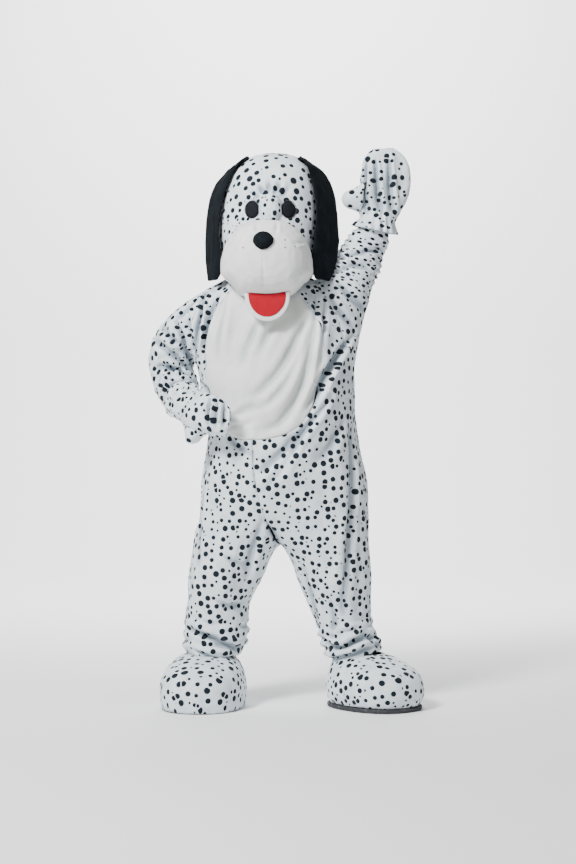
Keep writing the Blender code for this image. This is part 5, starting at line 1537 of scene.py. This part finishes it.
@dataclass
class BackZip:
    """The back zip: woven tapes, a chain of teeth, slider and pull."""

    wardrobe: Wardrobe
    suit: Jumpsuit
    tape_cut: Cut = Cut(0.013, 0.44, 0.0057, Hold.HUNG)
    tape_thickness: float = 0.0012
    reach: float = 0.0035
    pitch: float = 0.0026
    tooth: Place = (0.0030, 0.0011, 0.0016)
    tooth_bevel: float = 0.0003
    stagger: float = 0.14
    slider_room: float = 0.0105
    still: float = 0.030
    row_gap: float = 0.012

    def build(self) -> list[bpy.types.Object]:
        """Makes the tapes and teeth, and dresses the zip's metal."""
        made = []
        low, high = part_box("zip_slider")
        centre = (Vector(low) + Vector(high)) / 2
        for name in ("zip_tape_left", "zip_tape_right"):
            tape = Cloth(name, 2)
            self.suit.crease(tape)
            far = np.linalg.norm(tape.rest - np.array(centre), axis=1)
            share = np.clip((far - self.still) / self.still, 0, 1)
            tape.points = tape.rest + share[:, None] * (tape.points - tape.rest)
            piece = tape.finish(self.tape_thickness, self.wardrobe.tape, None, Slot.TAPE)
            self.tape_cut.declare(piece)
            made.append(piece)
        line = self.chain(made)
        for name in ("zip_slider", "zip_pull"):
            made.append(redress(name, self.wardrobe.metal))
        made.append(self.teeth(line, centre))
        return made

    def chain(self, tapes: Sequence[bpy.types.Object]) -> list[Vector]:
        """The line between the two tapes, from the top down."""
        left, right = (tape.data.vertices for tape in tapes)
        tree = point_tree(point.co for point in right)
        middles = []
        for point in left:
            other, _, far = tree.find(point.co)
            if far < self.reach:
                middles.append((point.co + other) / 2)
        middles.sort(key=lambda place: -place.z)
        rows = []
        for place in middles:
            if rows and abs(rows[-1][0].z - place.z) < self.row_gap:
                rows[-1].append(place)
            else:
                rows.append([place])
        return smooth_line([sum(row, Vector()) / len(row) for row in rows], self.pitch)

    def teeth(self, line: Sequence[Vector], centre: Vector) -> bpy.types.Object:
        """The chain of teeth: one tooth is modelled, then copied along the line.

        Args:
            line: The places along the chain.
            centre: The slider's middle, above which the chain is open.

        Returns:
            The joined teeth.
        """
        deselect()
        bpy.ops.mesh.primitive_cube_add(size=1.0)
        first = bpy.context.object
        first.name = "zip_teeth"
        first.scale = self.tooth
        place_mesh(first)
        bpy.ops.object.mode_set(mode="EDIT")
        bpy.ops.mesh.select_all(action="SELECT")
        bpy.ops.mesh.bevel(offset=self.tooth_bevel, segments=2)
        bpy.ops.object.mode_set(mode="OBJECT")
        copies = []
        for k in range(1, len(line) - 1):
            if (line[k] - centre).length < self.slider_room or line[k].z > centre.z:
                continue
            down = (line[k + 1] - line[k - 1]).normalized()
            across = Vector((1.0, 0.0, 0.0))
            across = (across - down * across.dot(down)).normalized()
            out = down.cross(across)
            out = out if out.y > 0 else -out
            turn = Matrix((across, down, out)).transposed().to_4x4()
            copy = first.copy()
            copy.data = first.data.copy()
            shift = across * self.tooth[0] * (self.stagger if k % 2 else -self.stagger)
            copy.data.transform(Matrix.Translation(line[k] + shift) @ turn)
            bpy.context.scene.collection.objects.link(copy)
            copies.append(copy)
        deselect()
        for copy in copies:
            copy.select_set(True)
        bpy.context.view_layer.objects.active = copies[0]
        bpy.ops.object.join()
        bpy.data.objects.remove(first, do_unlink=True)
        chain = copies[0]
        chain.name = "zip_teeth"
        return trim(chain, self.wardrobe.metal)


@dataclass(frozen=True)
class Lamp:
    """A square soft light: its place, its size, its power in watts and what it looks at."""

    name: str
    place: Place
    size: float
    power: float
    aim: Place = (0.0, 0.0, -0.5)

    def hang(self) -> None:
        """Puts the light into the scene."""
        lamp = bpy.data.lights.new(self.name, "AREA")
        lamp.energy, lamp.size = self.power, self.size
        thing = bpy.data.objects.new(self.name, lamp)
        thing.location = self.place
        look = Vector(self.aim) - Vector(self.place)
        thing.rotation_euler = look.to_track_quat("-Z", "Y").to_euler()
        bpy.context.scene.collection.objects.link(thing)


@dataclass
class Studio:
    """A pale floor and backdrop, soft lights, and the camera straight in front."""

    floor_height: float = -1.400
    camera_place: Place = (0.0672, -6.05, -0.485)
    lens: float = 75.0
    sensor: float = 36.0
    floor_colour: Colour = (0.90, 0.90, 0.90)
    floor_size: float = 14.0
    wall_height: float = 7.0
    sweep: float = 1.6
    air_colour: Colour = (0.93, 0.96, 1.0)
    air_light: float = 0.13
    lamps: tuple[Lamp, ...] = (
        Lamp("key", (-2.3, -3.4, 2.7), 1.2, 500.0),
        Lamp("fill", (3.2, -3.6, 0.4), 3.0, 26.0),
        Lamp("top", (0.4, -0.9, 3.6), 2.0, 60.0),
        Lamp("backdrop", (0.0, 3.2, 3.6), 4.0, 850.0, (0.0, 7.0, 0.2)),
    )

    def build(self) -> None:
        """Makes the floor, the lights, the air's light and the camera."""
        self.lay_floor()
        for lamp in self.lamps:
            lamp.hang()
        world = bpy.data.worlds.new("studio")
        world.use_nodes = True
        air = world.node_tree.nodes["Background"]
        air.inputs["Color"].default_value = (*self.air_colour, 1.0)
        air.inputs["Strength"].default_value = self.air_light
        bpy.context.scene.world = world
        camera = bpy.data.cameras.new("camera")
        camera.lens, camera.sensor_width = self.lens, self.sensor
        eye = bpy.data.objects.new("camera", camera)
        eye.location = self.camera_place
        eye.rotation_euler = (math.pi / 2, 0.0, 0.0)
        bpy.context.scene.collection.objects.link(eye)
        bpy.context.scene.camera = eye

    def lay_floor(self) -> None:
        """Makes the paper floor, which sweeps up into a backdrop."""
        deselect()
        bpy.ops.mesh.primitive_plane_add(size=self.floor_size, location=(0.0, 0.0, self.floor_height))
        floor = bpy.context.object
        floor.name = "floor"
        bpy.ops.object.mode_set(mode="EDIT")
        bpy.ops.mesh.select_all(action="DESELECT")
        bpy.ops.object.mode_set(mode="OBJECT")
        for edge in floor.data.edges:
            edge.select = all(floor.data.vertices[v].co.y > 0 for v in edge.vertices)
        bpy.ops.object.mode_set(mode="EDIT")
        bpy.ops.mesh.select_mode(type="EDGE")
        rise = (0.0, 0.0, self.wall_height)
        bpy.ops.mesh.extrude_region_move(TRANSFORM_OT_translate={"value": rise})
        bpy.ops.object.mode_set(mode="OBJECT")
        apply_modifier(floor, "BEVEL", width=self.sweep, segments=14, limit_method="ANGLE")
        floor.data.shade_smooth()
        paper = Bench("studio_paper", 0.95)
        shaded = tuple(0.985 * c for c in self.floor_colour)
        paper.colour(paper.mix(paper.noise(3.0), self.floor_colour, shaded))
        floor.data.materials.append(paper.material)


def main() -> None:
    """Builds the studio and every part of the costume."""
    logging.basicConfig(level=logging.INFO, format="%(name)s %(message)s")
    noise.seed_set(WRINKLE_SEED)
    Studio().build()
    wardrobe = Wardrobe()
    suit = Jumpsuit(wardrobe)
    zip_part = BackZip(wardrobe, suit)
    for part in (suit, Mitts(wardrobe), BootCovers(wardrobe), DogHead(wardrobe), zip_part):
        pieces = part.build()
        LOG.info("%s: %s", type(part).__name__, ", ".join(p.name for p in pieces))


if __name__ == "__main__":
    main()
